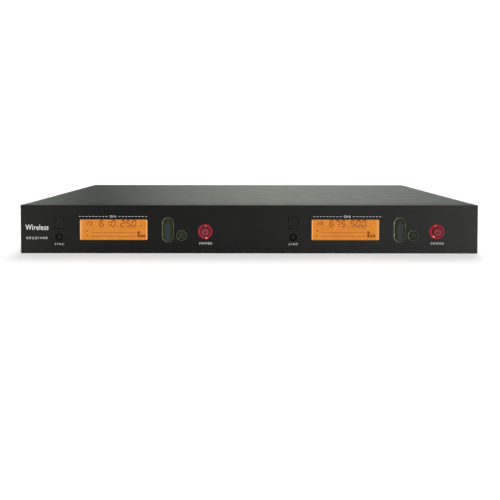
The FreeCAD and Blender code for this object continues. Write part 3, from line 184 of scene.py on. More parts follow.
class Surface(Nodes):
    """A Principled material that is built up by adding its noises, masks and a bump."""

    def __init__(self, name, colour, roughness, metallic=0.0, **sockets):
        self.material = bpy.data.materials.new(name)
        super().__init__(self.material, "Object")
        self.shader = self.tree.nodes["Principled BSDF"]
        self.shader.inputs["Base Color"].default_value = (*colour, 1)
        self.shader.inputs["Roughness"].default_value = roughness
        self.shader.inputs["Metallic"].default_value = metallic
        for socket, value in sockets.items():
            self.shader.inputs[socket.replace("_", " ")].default_value = value

    def facing(self, letter):
        """The surface normal's part along one axis."""
        split = self.add("ShaderNodeSeparateXYZ")
        self.link(self.add("ShaderNodeNewGeometry").outputs["True Normal"], split.inputs[0])
        return split.outputs[letter]

    def colour(self, socket):
        self.link(socket, self.shader.inputs["Base Color"])

    def rough(self, socket):
        self.link(socket, self.shader.inputs["Roughness"])

    def glow(self, socket):
        self.link(socket, self.shader.inputs["Emission Color"])
        self.shader.inputs["Emission Strength"].default_value = 1.0

    def bump(self, value, depth):
        """Raises the surface by up to depth metres."""
        node = self.add("ShaderNodeBump")
        node.inputs["Strength"].default_value = 1.0
        node.inputs["Distance"].default_value = depth
        self.link(value, node.inputs["Height"])
        self.link(node.outputs["Normal"], self.shader.inputs["Normal"])

    def wear(self, colour, bare, edges):
        """Rubs a colour towards a bare colour along masked edges, broken up by noise."""
        broken = self.spread(self.noise(3.5 * MM, 5), 0.45, 0.7, 0, 0.35)
        return self.mix(self.calc("MULTIPLY", edges, broken), colour, bare)


def case_edges(surface):
    """A mask of the case's long edges, worked out from its outer size."""
    low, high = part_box("front_panel")
    x, y, z = (surface.axis(letter) for letter in "XYZ")
    reach = 0.9 * MM
    side = surface.near(surface.calc("ABSOLUTE", x), high.x, reach)
    top = surface.near(z, high.z, reach)
    front = surface.near(y, low.y, reach)
    return surface.calc("MAXIMUM", surface.calc("MULTIPLY", side, top),
                       surface.calc("MAXIMUM", surface.calc("MULTIPLY", side, front),
                                   surface.calc("MULTIPLY", top, front)))


# Materials

def powder_coat(name, tone, roughness, grain=0.45 * MM, depth=0.012 * MM, gloss=0.38, painted_top_highlight=0.0):
    """Satin black coat on sheet metal: fine orange peel, faint handling marks, rubbed edges and,
    where its last argument is above 0, a painted highlight: a paler cast on what faces up."""
    coat = Surface(name, (tone,) * 3, roughness, Specular_IOR_Level=gloss,
                   Specular_Tint=(0.97, 1.0, 0.94, 1))
    drift = coat.noise(38 * MM, 4)
    specks = coat.noise(0.25 * MM, 2)
    warm = (tone * 1.25, tone * 1.22, tone * 1.12)
    cool = (tone * 0.8, tone * 0.84, tone * 0.86)
    base = coat.mix(coat.spread(drift, 0.35, 0.65), cool, warm)
    base = coat.mix(coat.spread(specks, 0.62, 0.75, 0, 0.35), base, (tone * 2.4,) * 3)
    # Painted highlight: faces that point up are lifted to a paler tone.
    if painted_top_highlight:
        paler = (tone + painted_top_highlight,) * 3
        base = coat.mix(coat.spread(coat.facing("Z"), 0.5, 0.9), base, paler)
    coat.colour(coat.wear(base, (0.09, 0.09, 0.088), case_edges(coat)))
    marks = coat.noise(14 * MM, 4)
    coat.rough(coat.spread(marks, 0.3, 0.7, roughness - 0.02, roughness + 0.03))
    coat.bump(coat.noise(grain, 3), depth)
    return coat.material


def nickel(name, colour, roughness, turned=True):
    """Plated metal with fine turning marks round its axis and a slightly clouded tarnish."""
    metal = Surface(name, colour, roughness, metallic=1.0)
    cloud = metal.noise(2.2 * MM, 5)
    dull = tuple(part * 0.62 for part in colour)
    metal.colour(metal.mix(metal.spread(cloud, 0.42, 0.72, 0, 0.8), colour, dull))
    metal.rough(metal.spread(cloud, 0.3, 0.7, roughness, roughness + 0.16))
    if turned:
        metal.bump(metal.noise(0.12 * MM, 2, stretch=(40, 1, 40)), 0.006 * MM)
    return metal.material


def plastic(name, colour, roughness, grain=0.35 * MM, depth=0.008 * MM, **sockets):
    """Moulded plastic: fine spark-eroded grain and slow changes of shade."""
    resin = Surface(name, colour, roughness, **sockets)
    lighter = tuple(min(1, part * 1.35 + 0.002) for part in colour)
    resin.colour(resin.mix(resin.spread(resin.noise(4 * MM, 4), 0.4, 0.7, 0, 0.7),
                           colour, lighter))
    resin.rough(resin.spread(resin.noise(1.5 * MM, 3), 0.3, 0.7, roughness - 0.04,
                             roughness + 0.08))
    resin.bump(resin.noise(grain, 2), depth)
    return resin.material


def amber_cell(name, node):
    """The lit display: even in the middle, with a painted highlight along its left and right edges.
    """
    low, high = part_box(node)
    cell = Surface(name, (0.02, 0.006, 0.001), 0.5, Specular_IOR_Level=0.1)
    across = cell.axis("X")
    edge_highlight = cell.calc("MAXIMUM", cell.near(across, low.x + 2.4 * MM, 1.1 * MM),
                     cell.near(across, high.x - 2.4 * MM, 1.3 * MM))
    patches = cell.mix(cell.spread(cell.noise(7 * MM, 3), 0.35, 0.65), (0.655, 0.208, 0.022),
                       (0.71, 0.245, 0.026))
    fine = cell.mix(cell.spread(cell.noise(0.9 * MM, 2), 0.55, 0.75, 0, 0.3), patches,
                    (0.60, 0.19, 0.02))
    # Painted highlight: the glow turns paler along the left and right edges.
    cell.glow(cell.mix(cell.spread(edge_highlight, 0, 1, 0, 0.55), fine, (0.78, 0.36, 0.10)))
    cell.bump(cell.noise(0.2 * MM, 1), 0.002 * MM)
    return cell.material


def lens(name, highlight_side):
    """Clear hard-coated acrylic, with very faint wiping marks. Its bevel carries a painted
    highlight on the side, -1 or 1 along X, that lies nearer the middle of the unit."""
    clear = Surface(name, (1.0, 0.995, 0.98), 0.02, IOR=1.15, Transmission_Weight=1.0,
                    Specular_IOR_Level=0.1)
    clear.rough(clear.spread(clear.noise(6 * MM, 5, stretch=(3, 1, 1)), 0.4, 0.75, 0.01,
                             0.05))
    bevel_highlight = clear.spread(clear.calc("MULTIPLY", clear.facing("X"), highlight_side), 0.4, 0.7)
    # Painted highlight: the bevel faces on one side glow pale amber.
    clear.glow(clear.mix(bevel_highlight, (0.0, 0.0, 0.0), (0.42, 0.28, 0.14)))
    return clear.material


def painted_spots(surface, base, highlight_spots, reach, colour):
    """Mixes a painted highlight, a soft spot of a colour, over a base at each point, given as
    (point, strength).
    """
    for point, strength in highlight_spots:
        halo = surface.spread(surface.distance(point), reach, 0.2 * MM)
        base = surface.mix(surface.calc("POWER", halo, 1.6), base,
                           tuple(part * strength for part in colour))
    return base


def olive_ring(name, letter):
    """Smoke-green translucent rims of the rocker and the set key. A thin line along the outer edge
    of each carries a painted highlight, mostly on the left, with painted highlight spots on it."""
    node = f"key_light_rings_{letter}"
    rim = Surface(name, (0.012, 0.015, 0.008), 0.2, Specular_IOR_Level=0.06)
    low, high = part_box(node)
    slot = middle(f"rocker_key_{letter}")
    key = middle(f"set_button_{letter}")
    lip = 0.6 * MM
    inset, line_wide = 0.25 * MM, 0.31 * MM
    slot_radius = slot.x - low.x - lip
    key_radius = high.x - key.x - lip
    half_length = (high.z - low.z) / 2 - lip - slot_radius
    line = rim.calc(
        "MAXIMUM",
        rim.near(rim.from_stroke(slot.x, slot.z, half_length), slot_radius - inset, line_wide),
        rim.near(rim.from_stroke(key.x, key.z), key_radius - inset, line_wide))
    cloud = rim.spread(rim.noise(5 * MM, 2), 0.35, 0.65)
    rim.colour(rim.mix(cloud, (0.006, 0.008, 0.004), (0.012, 0.015, 0.008)))
    # The rim's glow is painted highlight: pale on the left, dimmer to the right and towards the set
    # key, kept to the thin edge line.
    rightward = rim.spread(rim.axis("X"), slot.x - 4 * MM, slot.x + 3 * MM)
    lit = rim.mix(rightward, (0.31, 0.33, 0.22), (0.125, 0.140, 0.090))
    lit = rim.mix(rim.spread(rim.axis("X"), slot.x + 5.8 * MM, slot.x + 6.8 * MM), lit,
                  (0.11, 0.125, 0.085))
    edge = rim.mix(line, (0.005, 0.0075, 0.0025), lit)
    # Painted highlight spots on each rim.
    highlight_spots = [((centre.x + right * MM, low.y, centre.z + rise * MM), strength)
             for centre, spots in ((slot, ROCKER_HIGHLIGHTS[letter]), (key, SET_HIGHLIGHTS[letter]))
             for right, rise, strength in spots]
    rim.glow(painted_spots(rim, edge, highlight_spots, 1.8 * MM, (0.95, 1.0, 0.70)))
    rim.bump(rim.noise(0.6 * MM, 2), 0.01 * MM)
    return rim.material


def red_ring(name, letter):
    """Deep red translucent ring round the power button: a bright crest and a dark rim, with painted
    highlight spots and painted highlights on its sides: the first channel's on its left, the second
    channel's red on its left and purple on its right."""
    node = f"power_light_ring_{letter}"
    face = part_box(node)[0].y
    centre = middle(node)
    ring = Surface(name, (0.06, 0.002, 0.004), 0.15, Specular_IOR_Level=0.06)
    radial = ring.distance((centre.x, face, centre.z))
    shade = ring.mix(ring.spread(radial, 6.1 * MM, 6.8 * MM), (0.27, 0.012, 0.026),
                     (0.085, 0.003, 0.007))
    shade = ring.mix(ring.spread(ring.noise(3 * MM, 2), 0.35, 0.65, 0, 0.5), shade,
                     (0.15, 0.005, 0.014))
    crest = ring.near(radial, 5.6 * MM, 0.5 * MM)
    light = ring.mix(ring.calc("MULTIPLY", crest, 0.6), shade, (0.40, 0.050, 0.070))
    # Painted highlights on the ring's sides, different on each channel.
    if letter == "a":
        left = ring.spread(ring.axis("X"), centre.x + 2 * MM, centre.x - 6 * MM, 0, 0.4)
        light = ring.mix(left, light, (0.26, 0.035, 0.048))
    else:
        left = ring.spread(ring.axis("X"), centre.x, centre.x - 6 * MM, 0, 0.6)
        right = ring.spread(ring.axis("X"), centre.x - 1 * MM, centre.x + 6 * MM, 0, 0.75)
        light = ring.mix(left, light, (0.46, 0.012, 0.026))
        light = ring.mix(right, light, (0.14, 0.022, 0.048))
    highlight_spots = [((centre.x + across * MM, face, centre.z + up * MM), strength)
             for across, up, strength in POWER_HIGHLIGHTS[letter]]
    ring.glow(painted_spots(ring, light, highlight_spots, 1.3 * MM, (1.0, 0.42, 0.27)))
    ring.bump(ring.noise(0.6 * MM, 2), 0.01 * MM)
    return ring.material


def rocker_cap(name, node):
    """Smoke-green translucent key with a satin slate strip printed down its face, from below the
    arrow at its top. It glows faintly, the strip more: painted light."""
    strip = 2.5 * MM
    soft = 0.35 * MM
    strip_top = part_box(node)[1].z - 4.0 * MM
    centre = middle(node)
    cap = Surface(name, (0.02, 0.028, 0.012), 0.2, Specular_IOR_Level=0.04)
    offset = cap.calc("ABSOLUTE", cap.calc("SUBTRACT", cap.axis("X"), centre.x))
    inside = cap.spread(offset, strip + soft, strip - soft)
    front = cap.spread(cap.facing("Y"), -0.75, -0.95)
    below = cap.spread(cap.axis("Z"), strip_top, strip_top - 1 * MM)
    printed = cap.calc("MULTIPLY", cap.calc("MULTIPLY", inside, front), below)
    green = cap.mix(cap.spread(cap.noise(2 * MM, 3), 0.35, 0.7), (0.013, 0.018, 0.007),
                    (0.021, 0.027, 0.011))
    cap.colour(cap.mix(printed, green, (0.022, 0.0245, 0.025)))
    # Painted light: the key glows faintly, the printed strip a little more.
    cap.glow(cap.mix(printed, (0.0070, 0.0095, 0.0050), (0.0160, 0.0180, 0.0176)))
    cap.rough(cap.spread(printed, 0, 1, 0.2, 0.5))
    cap.bump(cap.noise(0.25 * MM, 2), 0.004 * MM)
    return cap.material


def set_cap(name, node):
    """Smoke-green translucent round key that glows faintly, more along a ring half-way out: painted
    light.
    """
    centre = middle(node)
    cap = Surface(name, (0.015, 0.02, 0.01), 0.22, Specular_IOR_Level=0.03)
    radial = cap.distance((centre.x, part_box(node)[0].y, centre.z))
    painted_light_ring = cap.near(radial, 1.9 * MM, 0.6 * MM)
    green = cap.mix(cap.spread(cap.noise(2 * MM, 3), 0.35, 0.7), (0.009, 0.012, 0.006),
                    (0.015, 0.019, 0.010))
    cap.colour(green)
    # Painted light: a faint glow, brighter along the ring half-way out.
    cap.glow(cap.mix(painted_light_ring, (0.0095, 0.0115, 0.0075), (0.0205, 0.0240, 0.0180)))
    cap.bump(cap.noise(0.25 * MM, 2), 0.004 * MM)
    return cap.material


def power_cap(name, node):
    """Dark red cap, lit crimson from inside its middle."""
    centre = middle(node)
    cap = Surface(name, (0.04, 0.007, 0.007), 0.22, Specular_IOR_Level=0.04)
    radial = cap.distance((centre.x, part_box(node)[0].y, centre.z))
    core = cap.spread(radial, 2.7 * MM, 1.5 * MM)
    edge = cap.spread(radial, 3.2 * MM, 4.4 * MM)
    outer = cap.mix(edge, (0.055, 0.012, 0.008), (0.105, 0.007, 0.010))
    mottled = cap.mix(cap.spread(cap.noise(1.4 * MM, 2), 0.4, 0.65), outer,
                      (0.032, 0.012, 0.006))
    cap.glow(cap.mix(core, mottled, (0.20, 0.009, 0.040)))
    cap.colour(cap.mix(cap.spread(cap.noise(1.5 * MM, 3), 0.35, 0.7), (0.035, 0.006, 0.006),
                       (0.05, 0.010, 0.011)))
    cap.bump(cap.noise(0.4 * MM, 2), 0.004 * MM)
    return cap.material


def circuit_board(name):
    """Green solder mask with faint copper tracks under it."""
    board = Surface(name, (0.012, 0.11, 0.04), 0.3, Coat_Weight=0.3, Coat_Roughness=0.2)
    weave = board.noise(1.2 * MM, 2, stretch=(4, 1, 4))
    board.colour(board.mix(board.spread(weave, 0.52, 0.56), (0.010, 0.085, 0.030),
                           (0.020, 0.15, 0.055)))
    board.bump(weave, 0.02 * MM)
    return board.material


def ink(name, colour, roughness=0.55):
    """Screen-printed ink: slightly uneven cover and a matt skin."""
    print_ink = Surface(name, colour, roughness)
    thin = tuple(part * 0.72 for part in colour)
    print_ink.colour(print_ink.mix(print_ink.spread(print_ink.noise(0.35 * MM, 3), 0.35, 0.6),
                                   thin, colour))
    print_ink.bump(print_ink.noise(0.2 * MM, 2), 0.003 * MM)
    return print_ink.material


def paper(name):
    """White sticker stock with fibres."""
    sheet = Surface(name, (0.62, 0.63, 0.64), 0.6, Specular_IOR_Level=0.3)
    fibre = sheet.noise(0.5 * MM, 5, stretch=(3, 1, 1))
    sheet.colour(sheet.mix(sheet.spread(fibre, 0.3, 0.7), (0.54, 0.55, 0.57),
                           (0.68, 0.69, 0.70)))
    sheet.bump(fibre, 0.01 * MM)
    return sheet.material


def dress(material, *names):
    """Gives CAD nodes a material."""
    for name in names:
        mesh = nodes[name].data
        mesh.materials.clear()
        mesh.materials.append(material)


def dress_cad():
    dress(powder_coat("cover_coat", 0.007, 0.40, gloss=0.28), "top_cover")
    dress(powder_coat("panel_coat", 0.0018, 0.36, 0.2 * MM, 0.004 * MM, 0.09, painted_top_highlight=0.02),
          "front_panel")
    dress(powder_coat("chassis_coat", 0.0035, 0.42, gloss=0.13), "base_chassis")
    dress(nickel("warm_nickel", (0.50, 0.45, 0.38), 0.15), "antenna_socket_a",
          "antenna_socket_b", "antenna_socket_nuts", "antenna_lock_washers")
    dress(nickel("bright_nickel", (0.80, 0.79, 0.76), 0.16), "mix_jack_ferrule")
    dress(nickel("zinc", (0.36, 0.35, 0.31), 0.22, turned=False), "xlr_screws",
          "rear_cover_screws", "board_screws")
    dress(nickel("black_oxide", (0.05, 0.05, 0.05), 0.38, turned=False),
          "side_cover_screws", "front_panel_screws")
    dress(nickel("brass", (0.72, 0.52, 0.22), 0.25), "board_standoffs")
    dress(nickel("gold", (0.95, 0.72, 0.35), 0.18), "antenna_center_contacts")
    dress(nickel("silver", (0.93, 0.92, 0.90), 0.14), "xlr_pins", "dc_jack_pin",
          "mix_jack_contacts")
    dress(nickel("tin", (0.66, 0.66, 0.64), 0.34, turned=False), "rf_shield_cans",
          "rocker_brackets", "rocker_pivot_pins")
    dress(nickel("black_anodised", (0.03, 0.03, 0.032), 0.45, turned=False), "heat_sink")
    dress(plastic("dielectric", (0.62, 0.58, 0.47), 0.4, grain=0.5 * MM),
          "antenna_socket_insulators")
    dress(plastic("socket_black", (0.007, 0.007, 0.0075), 0.33), "xlr_socket_a",
          "xlr_socket_b", "mix_jack_body")
    dress(plastic("carrier_black", (0.005, 0.005, 0.005), 0.5), "xlr_inserts")
    dress(plastic("nut_black", (0.008, 0.008, 0.008), 0.4), "mix_jack_nut")
    dress(plastic("inlet_grey", (0.035, 0.035, 0.038), 0.5), "dc_jack_body")
    dress(plastic("component_black", (0.01, 0.01, 0.011), 0.45), "filter_capacitors",
          "tact_switches")
    dress(plastic("infrared_black", (0.0145, 0.0143, 0.0135), 0.3, depth=0.0005 * MM,
                  Specular_IOR_Level=0.05), "ir_window_a", "ir_window_b", "ir_transceivers")
    dress(plastic("cable_grey", (0.09, 0.09, 0.095), 0.5), "antenna_leads",
          "ribbon_cables")
    dress(circuit_board("solder_mask"), "control_board_a", "control_board_b",
          "receiver_board_a", "receiver_board_b", "audio_board")
    dress(paper("sticker_paper"), "rear_labels")
    for letter, inner_side in zip(CHANNELS, (1, -1)):
        dress(lens(f"clear_lens_{letter}", inner_side), f"lcd_window_{letter}")
        for kind, name, node in ((amber_cell, "amber_cell", "lcd_glass"),
                                 (amber_cell, "amber_box", "lcd_backlight"),
                                 (rocker_cap, "rocker_cap", "rocker_key"),
                                 (set_cap, "set_cap", "set_button"),
                                 (power_cap, "power_cap", "power_button")):
            dress(kind(f"{name}_{letter}", f"{node}_{letter}"), f"{node}_{letter}")
        dress(plastic(f"sync_black_{letter}", (0.0155, 0.0155, 0.0145), 0.45,
                      depth=0.003 * MM, Specular_IOR_Level=0.04), f"sync_button_{letter}")
        dress(olive_ring(f"olive_ring_{letter}", letter), f"key_light_rings_{letter}")
        dress(red_ring(f"red_ring_{letter}", letter), f"power_light_ring_{letter}")


# Flat print and thin raised marks. They are drawn in millimetres, u to the right and v up,
# and then laid on the front or the rear. PRINT and RAISED are their thicknesses.

FRONT_VIEW = Matrix(((1, 0, 0), (0, 0, -1), (0, 1, 0))).to_4x4()
REAR_VIEW = Matrix(((-1, 0, 0), (0, 0, 1), (0, 1, 0))).to_4x4()


PRINT = 0.015
RAISED = 0.03


class Drawing:
    """Collects flat shapes of one thickness and turns them into one piece."""

    def __init__(self, thick):
        self.mesh = bmesh.new()
        self.thick = thick

    def outline(self, points):
        """A flat plate from its corners, counter-clockwise."""
        lower = [self.mesh.verts.new((u, v, 0)) for u, v in points]
        upper = [self.mesh.verts.new((u, v, self.thick)) for u, v in points]
        self.mesh.faces.new(upper)
        self.mesh.faces.new(lower[::-1])
        for index in range(len(points)):
            after = (index + 1) % len(points)
            self.mesh.faces.new((lower[index], lower[after], upper[after], upper[index]))

    def bar(self, u, v, wide, high, corner=0.0):
        """A bar about its centre, with its corners cut."""
        half_u, half_v = wide / 2, high / 2
        cut = min(corner, half_u * 0.9, half_v * 0.9)
        if cut <= 0:
            self.outline([(u - half_u, v - half_v), (u + half_u, v - half_v),
                          (u + half_u, v + half_v), (u - half_u, v + half_v)])
            return
        points = []
        for side_u, side_v, turn in ((1, -1, -90), (1, 1, 0), (-1, 1, 90), (-1, -1, 180)):
            for step in range(4):
                angle = math.radians(turn + step * 30)
                points.append((u + side_u * (half_u - cut) + cut * math.cos(angle),
                               v + side_v * (half_v - cut) + cut * math.sin(angle)))
        self.outline(points)

    def ring(self, u, v, radius, width, start=0.0, end=360.0, steps=40):
        """A ring or arc of even width, measured in degrees from the right."""
        whole = end - start >= 360
        rows = []
        for step in range(steps + (0 if whole else 1)):
            angle = math.radians(start + (end - start) * step / steps)
            ray = Vector((math.cos(angle), math.sin(angle), 0))
            rows.append([self.mesh.verts.new(Vector((u, v, depth)) + ray * reach)
                         for reach, depth in ((radius - width / 2, 0), (radius + width / 2, 0),
                                              (radius + width / 2, self.thick),
                                              (radius - width / 2, self.thick))])
        for index in range(len(rows) if whole else len(rows) - 1):
            row, following = rows[index], rows[(index + 1) % len(rows)]
            for side in range(4):
                other = (side + 1) % 4
                self.mesh.faces.new((row[side], row[other], following[other],
                                     following[side]))
        if not whole:
            self.mesh.faces.new(rows[0][::-1])
            self.mesh.faces.new(rows[-1])

    def text(self, words, u, v, wide, high, weight=0.0, spacing=1.1):
        """Plain letters fitted to a box about (u, v); weight thickens their strokes."""
        curve = bpy.data.curves.new("words", "FONT")
        curve.body = words
        curve.resolution_u = 3
        curve.extrude = 0.5
        curve.offset = weight
        curve.space_character = spacing
        holder = bpy.data.objects.new("words", curve)
        scene.collection.objects.link(holder)
        bpy.context.view_layer.update()
        shape = bpy.data.meshes.new_from_object(holder)
        corners = [vertex.co for vertex in shape.vertices]
        low = Vector([min(c[i] for c in corners) for i in range(3)])
        high_corner = Vector([max(c[i] for c in corners) for i in range(3)])
        size = high_corner - low
        scale = Vector((wide / size.x, high / size.y, self.thick / size.z))
        shift = Vector((u - wide / 2, v - high / 2, 0))
        for vertex in shape.vertices:
            vertex.co = Vector([(vertex.co[i] - low[i]) * scale[i] for i in range(3)]) + shift
        self.mesh.from_mesh(shape)
        bpy.data.objects.remove(holder)
        bpy.data.curves.remove(curve)
        bpy.data.meshes.remove(shape)

    def greek(self, u, v, wide, high, seed):
        """A line of unreadable blocks that stands for small print."""
        left = u
        step = seed
        while left < u + wide - high * 0.4:
            step = (step * 7 + 3) % 11
            letters = 2 + step % 5
            for _ in range(letters):
                step = (step * 5 + 1) % 13
                block = high * (0.42 + 0.05 * (step % 4))
                if left + block > u + wide:
                    return
                tall = high * (1.0 if step % 3 else 0.72)
                self.bar(left + block / 2, v - (high - tall) / 2, block, tall, 0.12)
                left += block + high * 0.2
            left += high * 0.5

    def digit(self, figure, u, v, wide, high):
        """A seven-segment figure that leans right, its lower left corner at (u, v)."""
        lean = 0.09
        stroke = wide * 0.216
        gap = stroke * 0.16
        half = stroke / 2
        left, right = half, wide - half
        levels = {"d": half, "g": high / 2, "a": high - half}

        def slanted(points):
            self.outline([(u + x + y * lean, v + y) for x, y in points])
        for name in DIGITS[figure]:
            if name in levels:
                y = levels[name]
                start, end = left + gap, right - gap
                slanted([(start, y), (start + half, y - half), (end - half, y - half),
                         (end, y), (end - half, y + half), (start + half, y + half)])
            else:
                x = left if name in "ef" else right
                low = levels["g"] if name in "bf" else levels["d"]
                top = levels["a"] if name in "bf" else levels["g"]
                start, end = low + gap, top - gap
                slanted([(x, start), (x + half, start + half), (x + half, end - half),
                         (x, end), (x - half, end - half), (x - half, start + half)])

    def piece(self, name, view, y, material, body, x=0.0, z=0.0):
        """Lays the drawing at a depth y, with its origin at (x, z), to ride on a body."""
        bmesh.ops.recalc_face_normals(self.mesh, faces=self.mesh.faces)
        data = bpy.data.meshes.new(name)
        self.mesh.to_mesh(data)
        self.mesh.free()
        data.transform(Matrix.Translation((x, y, z)) @ view @ Matrix.Scale(MM, 4))
        data.materials.append(material)
        thing = bpy.data.objects.new(name, data)
        scene.collection.objects.link(thing)
        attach(thing, body)


white_ink = ink("white_ink", (0.94, 0.94, 0.93))
grey_ink = ink("grey_ink", (0.70, 0.70, 0.69))
key_ink = ink("key_ink", (0.018, 0.022, 0.016))


def front_legends():
    """White print on the front panel."""
    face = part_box("front_panel")[0].y
    words = Drawing(PRINT)
    small = Drawing(PRINT)
    name_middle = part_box("front_panel")[0].x / MM + 15.2
    words.text("Wireless", name_middle, 24.0, 21.0, 5.0, 0.005, 1.08)
    words.text("RECEIVER", name_middle, 14.2, 19.4, 2.0, 0.0, 1.4)
    heading = 34.0
    for letter in CHANNELS:
        sync = middle(f"sync_button_{letter}") / MM
        power = middle(f"power_button_{letter}") / MM
        channel_middle = sync.x + 49.5
        small.text("SYNC", sync.x + 0.1, 8.6, 8.4, 2.0, 0.0, 1.25)
        small.text("POWER", power.x + 0.4, 9.3, 11.8, 2.1, 0.0, 1.15)
        small.text(f"CH {letter.upper()}", channel_middle, heading, 6.2, 2.0, 0.015, 1.0)
        for side in (1, -1):
            for step in range(9):
                small.bar(channel_middle + side * (6.0 + 3.04 * step), heading, 1.8, 0.4, 0.12)
    words.piece("front_name", FRONT_VIEW, face, white_ink, "case")
    small.piece("front_legends", FRONT_VIEW, face, grey_ink, "case")


def display_figures(letter, channel, whole, part):
    """The liquid crystal's dark figures, scales and marks, just behind the clear window,
    measured from the lower left corner inside the window's edge."""
    low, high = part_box(f"lcd_window_{letter}")
    edge = 2.0
    behind_window = 0.065 * MM
    left, bottom = low.x / MM + edge, low.z / MM + edge
    dark = Drawing(RAISED)
    for figures, start, pitch, foot, wide, tall in ((channel, 4.6, 3.3, 13.3, 2.6, 3.4),
                                                    (whole, 16.2, 5.5, 11.2, 4.3, 6.4),
                                                    (part, 35.8, 5.2, 11.2, 4.2, 6.4)):
        for index, figure in enumerate(figures):
            dark.digit(figure, left + start + index * pitch, bottom + foot, wide, tall)
    dark.bar(left + 3.4, bottom + 17.2, 1.6, 0.35)
    dark.bar(left + 33.6, bottom + 11.7, 0.9, 0.9, 0.2)
    dark.text("MHz", left + 54.0, bottom + 11.9, 4.0, 1.2, -0.01)
    for name, level, rule, lit in (("RF", 7.8, 6.2, 19), ("AF", 3.3, 2.6, 11)):
        dark.text(name, left + 5.4, bottom + level, 2.2, 1.6, 0.03)
        dark.bar(left + 29.6, bottom + rule, 42.0, 0.28)
        for step in range(28):
            tall = 0.8 if step < lit else 0.3
            dark.bar(left + 9.4 + step * 1.48, bottom + rule + tall / 2, 0.22, tall)
    for step in range(9):
        dark.bar(left + 10.5 + step * 4.9, bottom + 9.6, 1.9, 0.25)
    dark.bar(left + 52.9, bottom + 6.3, 2.6, 2.2, 0.3)
    for across, tall in ((52.8, 3.2), (55.4, 2.5), (58.0, 2.7)):
        dark.bar(left + across, bottom + 1.8 + tall / 2, 2.1, tall, 0.5)
    tint = Surface(f"segment_{letter}", (0.02, 0.004, 0.001), 0.5, Specular_IOR_Level=0.1)
    tint.glow(tint.mix(tint.spread(tint.noise(1.2 * MM, 2), 0.3, 0.7),
                       (0.19, 0.038, 0.004), (0.27, 0.062, 0.007)))
    dark.piece(f"display_figures_{letter}", FRONT_VIEW, high.y + behind_window,
               tint.material, "case")


def key_marks(letter):
    """Raised marks on the keys: up and down arrows, a set ring and a power sign."""
    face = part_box(f"rocker_key_{letter}")[0].y
    centre = middle(f"rocker_key_{letter}")
    arrows = Drawing(RAISED)
    for side in (1, -1):
        tip, foot = side * 8.3, side * 6.9
        points = [(-0.9, foot), (0.9, foot), (0, tip)]
        arrows.outline(points if side > 0 else points[::-1])
    arrows.piece(f"rocker_arrows_{letter}", FRONT_VIEW, face, key_ink,
                 f"rocker_{letter}", centre.x, centre.z)
    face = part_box(f"set_button_{letter}")[0].y
    centre = middle(f"set_button_{letter}")
    ring = Drawing(RAISED)
    ring.ring(0, 0, 1.45, 0.35, 0, 360, 32)
    ring.bar(0, 0, 0.7, 0.7, 0.3)
    ring.piece(f"set_mark_{letter}", FRONT_VIEW, face, key_ink, f"set_key_{letter}",
               centre.x, centre.z)
    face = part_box(f"power_button_{letter}")[0].y
    centre = middle(f"power_button_{letter}")
    sunk = 0.28
    sign = Drawing(sunk + 0.02)
    sign.ring(0, -0.2, 2.6, 0.45, 120, 420, 36)
    sign.bar(0, 1.5, 0.45, 2.7, 0.2)
    bright = {"a": (0.27, 0.060, 0.100), "b": (0.17, 0.055, 0.070)}[letter]
    glow = Surface(f"power_sign_{letter}", (0.2, 0.06, 0.08), 0.3, Specular_IOR_Level=0.2)
    glow.glow(glow.mix(glow.spread(glow.noise(0.8 * MM, 2), 0.3, 0.7),
                       tuple(part * 0.75 for part in bright), bright))
    sign.piece(f"power_sign_{letter}", FRONT_VIEW, face + sunk * MM, glow.material,
               f"power_key_{letter}", centre.x, centre.z)


def rear_legends():
    """White print on the rear wall. Small print and the old notice are unreadable blocks."""
    sticker_gap = 0.02 * MM
    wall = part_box("rear_labels")[0].y - sticker_gap
    words = Drawing(PRINT)
    for letter in CHANNELS:
        aerial = -middle(f"antenna_socket_{letter}").x / MM
        words.text("DC OUT", aerial, 28.4, 12.5, 2.1)
        words.text(f"ANT {letter.upper()} IN", aerial - 0.5, 4.6, 11.5, 2.1)
        microphone = -middle(f"xlr_socket_{letter}").x / MM
        words.text(f"MIC {letter.upper()} OUTPUT", microphone, 4.9, 17.2, 2.0)
    jack = -middle("mix_jack_ferrule").x / MM
    words.text("MIX OUTPUT", jack, 4.9, 17.0, 2.0)
    inlet = -middle("dc_jack_body").x / MM
    words.text("DC 12V", inlet, 27.8, 9.6, 2.1)
    words.text("POWER", inlet - 0.6, 5.1, 10.4, 2.1)
    words.text("BALANCED", 63.0, 33.4, 12.5, 1.9)
    words.text("FREQ RANGE", 180.3, 28.9, 18.5, 2.0)
    words.text("SERIAL No", 180.3, 16.5, 14.8, 2.0)
    for left, top, pitch, high, seed, widths in SMALL_PRINT:
        for index, wide in enumerate(widths):
            words.greek(left, top - index * pitch, wide, high, index + seed)
    words.piece("rear_legends", REAR_VIEW, wall, white_ink, "case")


def sticker_print():
    """Grey bars on one sticker and a plain row of noughts on the other."""
    marks = Drawing(0.01)
    left, bar_middle, bar_high = -104.8, 9.8, 6.5
    step = 3
    place = left + 1.2
    while place < left + 23.6:
        step = (step * 5 + 2) % 7
        wide = 0.35 + 0.22 * (step % 4)
        marks.bar(place + wide / 2, bar_middle, wide, bar_high)
        place += wide + 0.55 + 0.3 * (step % 3)
    marks.text("No 000000", 181.1, 7.0, 19.5, 3.3)
    marks.piece("sticker_print", REAR_VIEW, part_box("rear_labels")[1].y,
                ink("sticker_ink", (0.05, 0.05, 0.055)), "case")


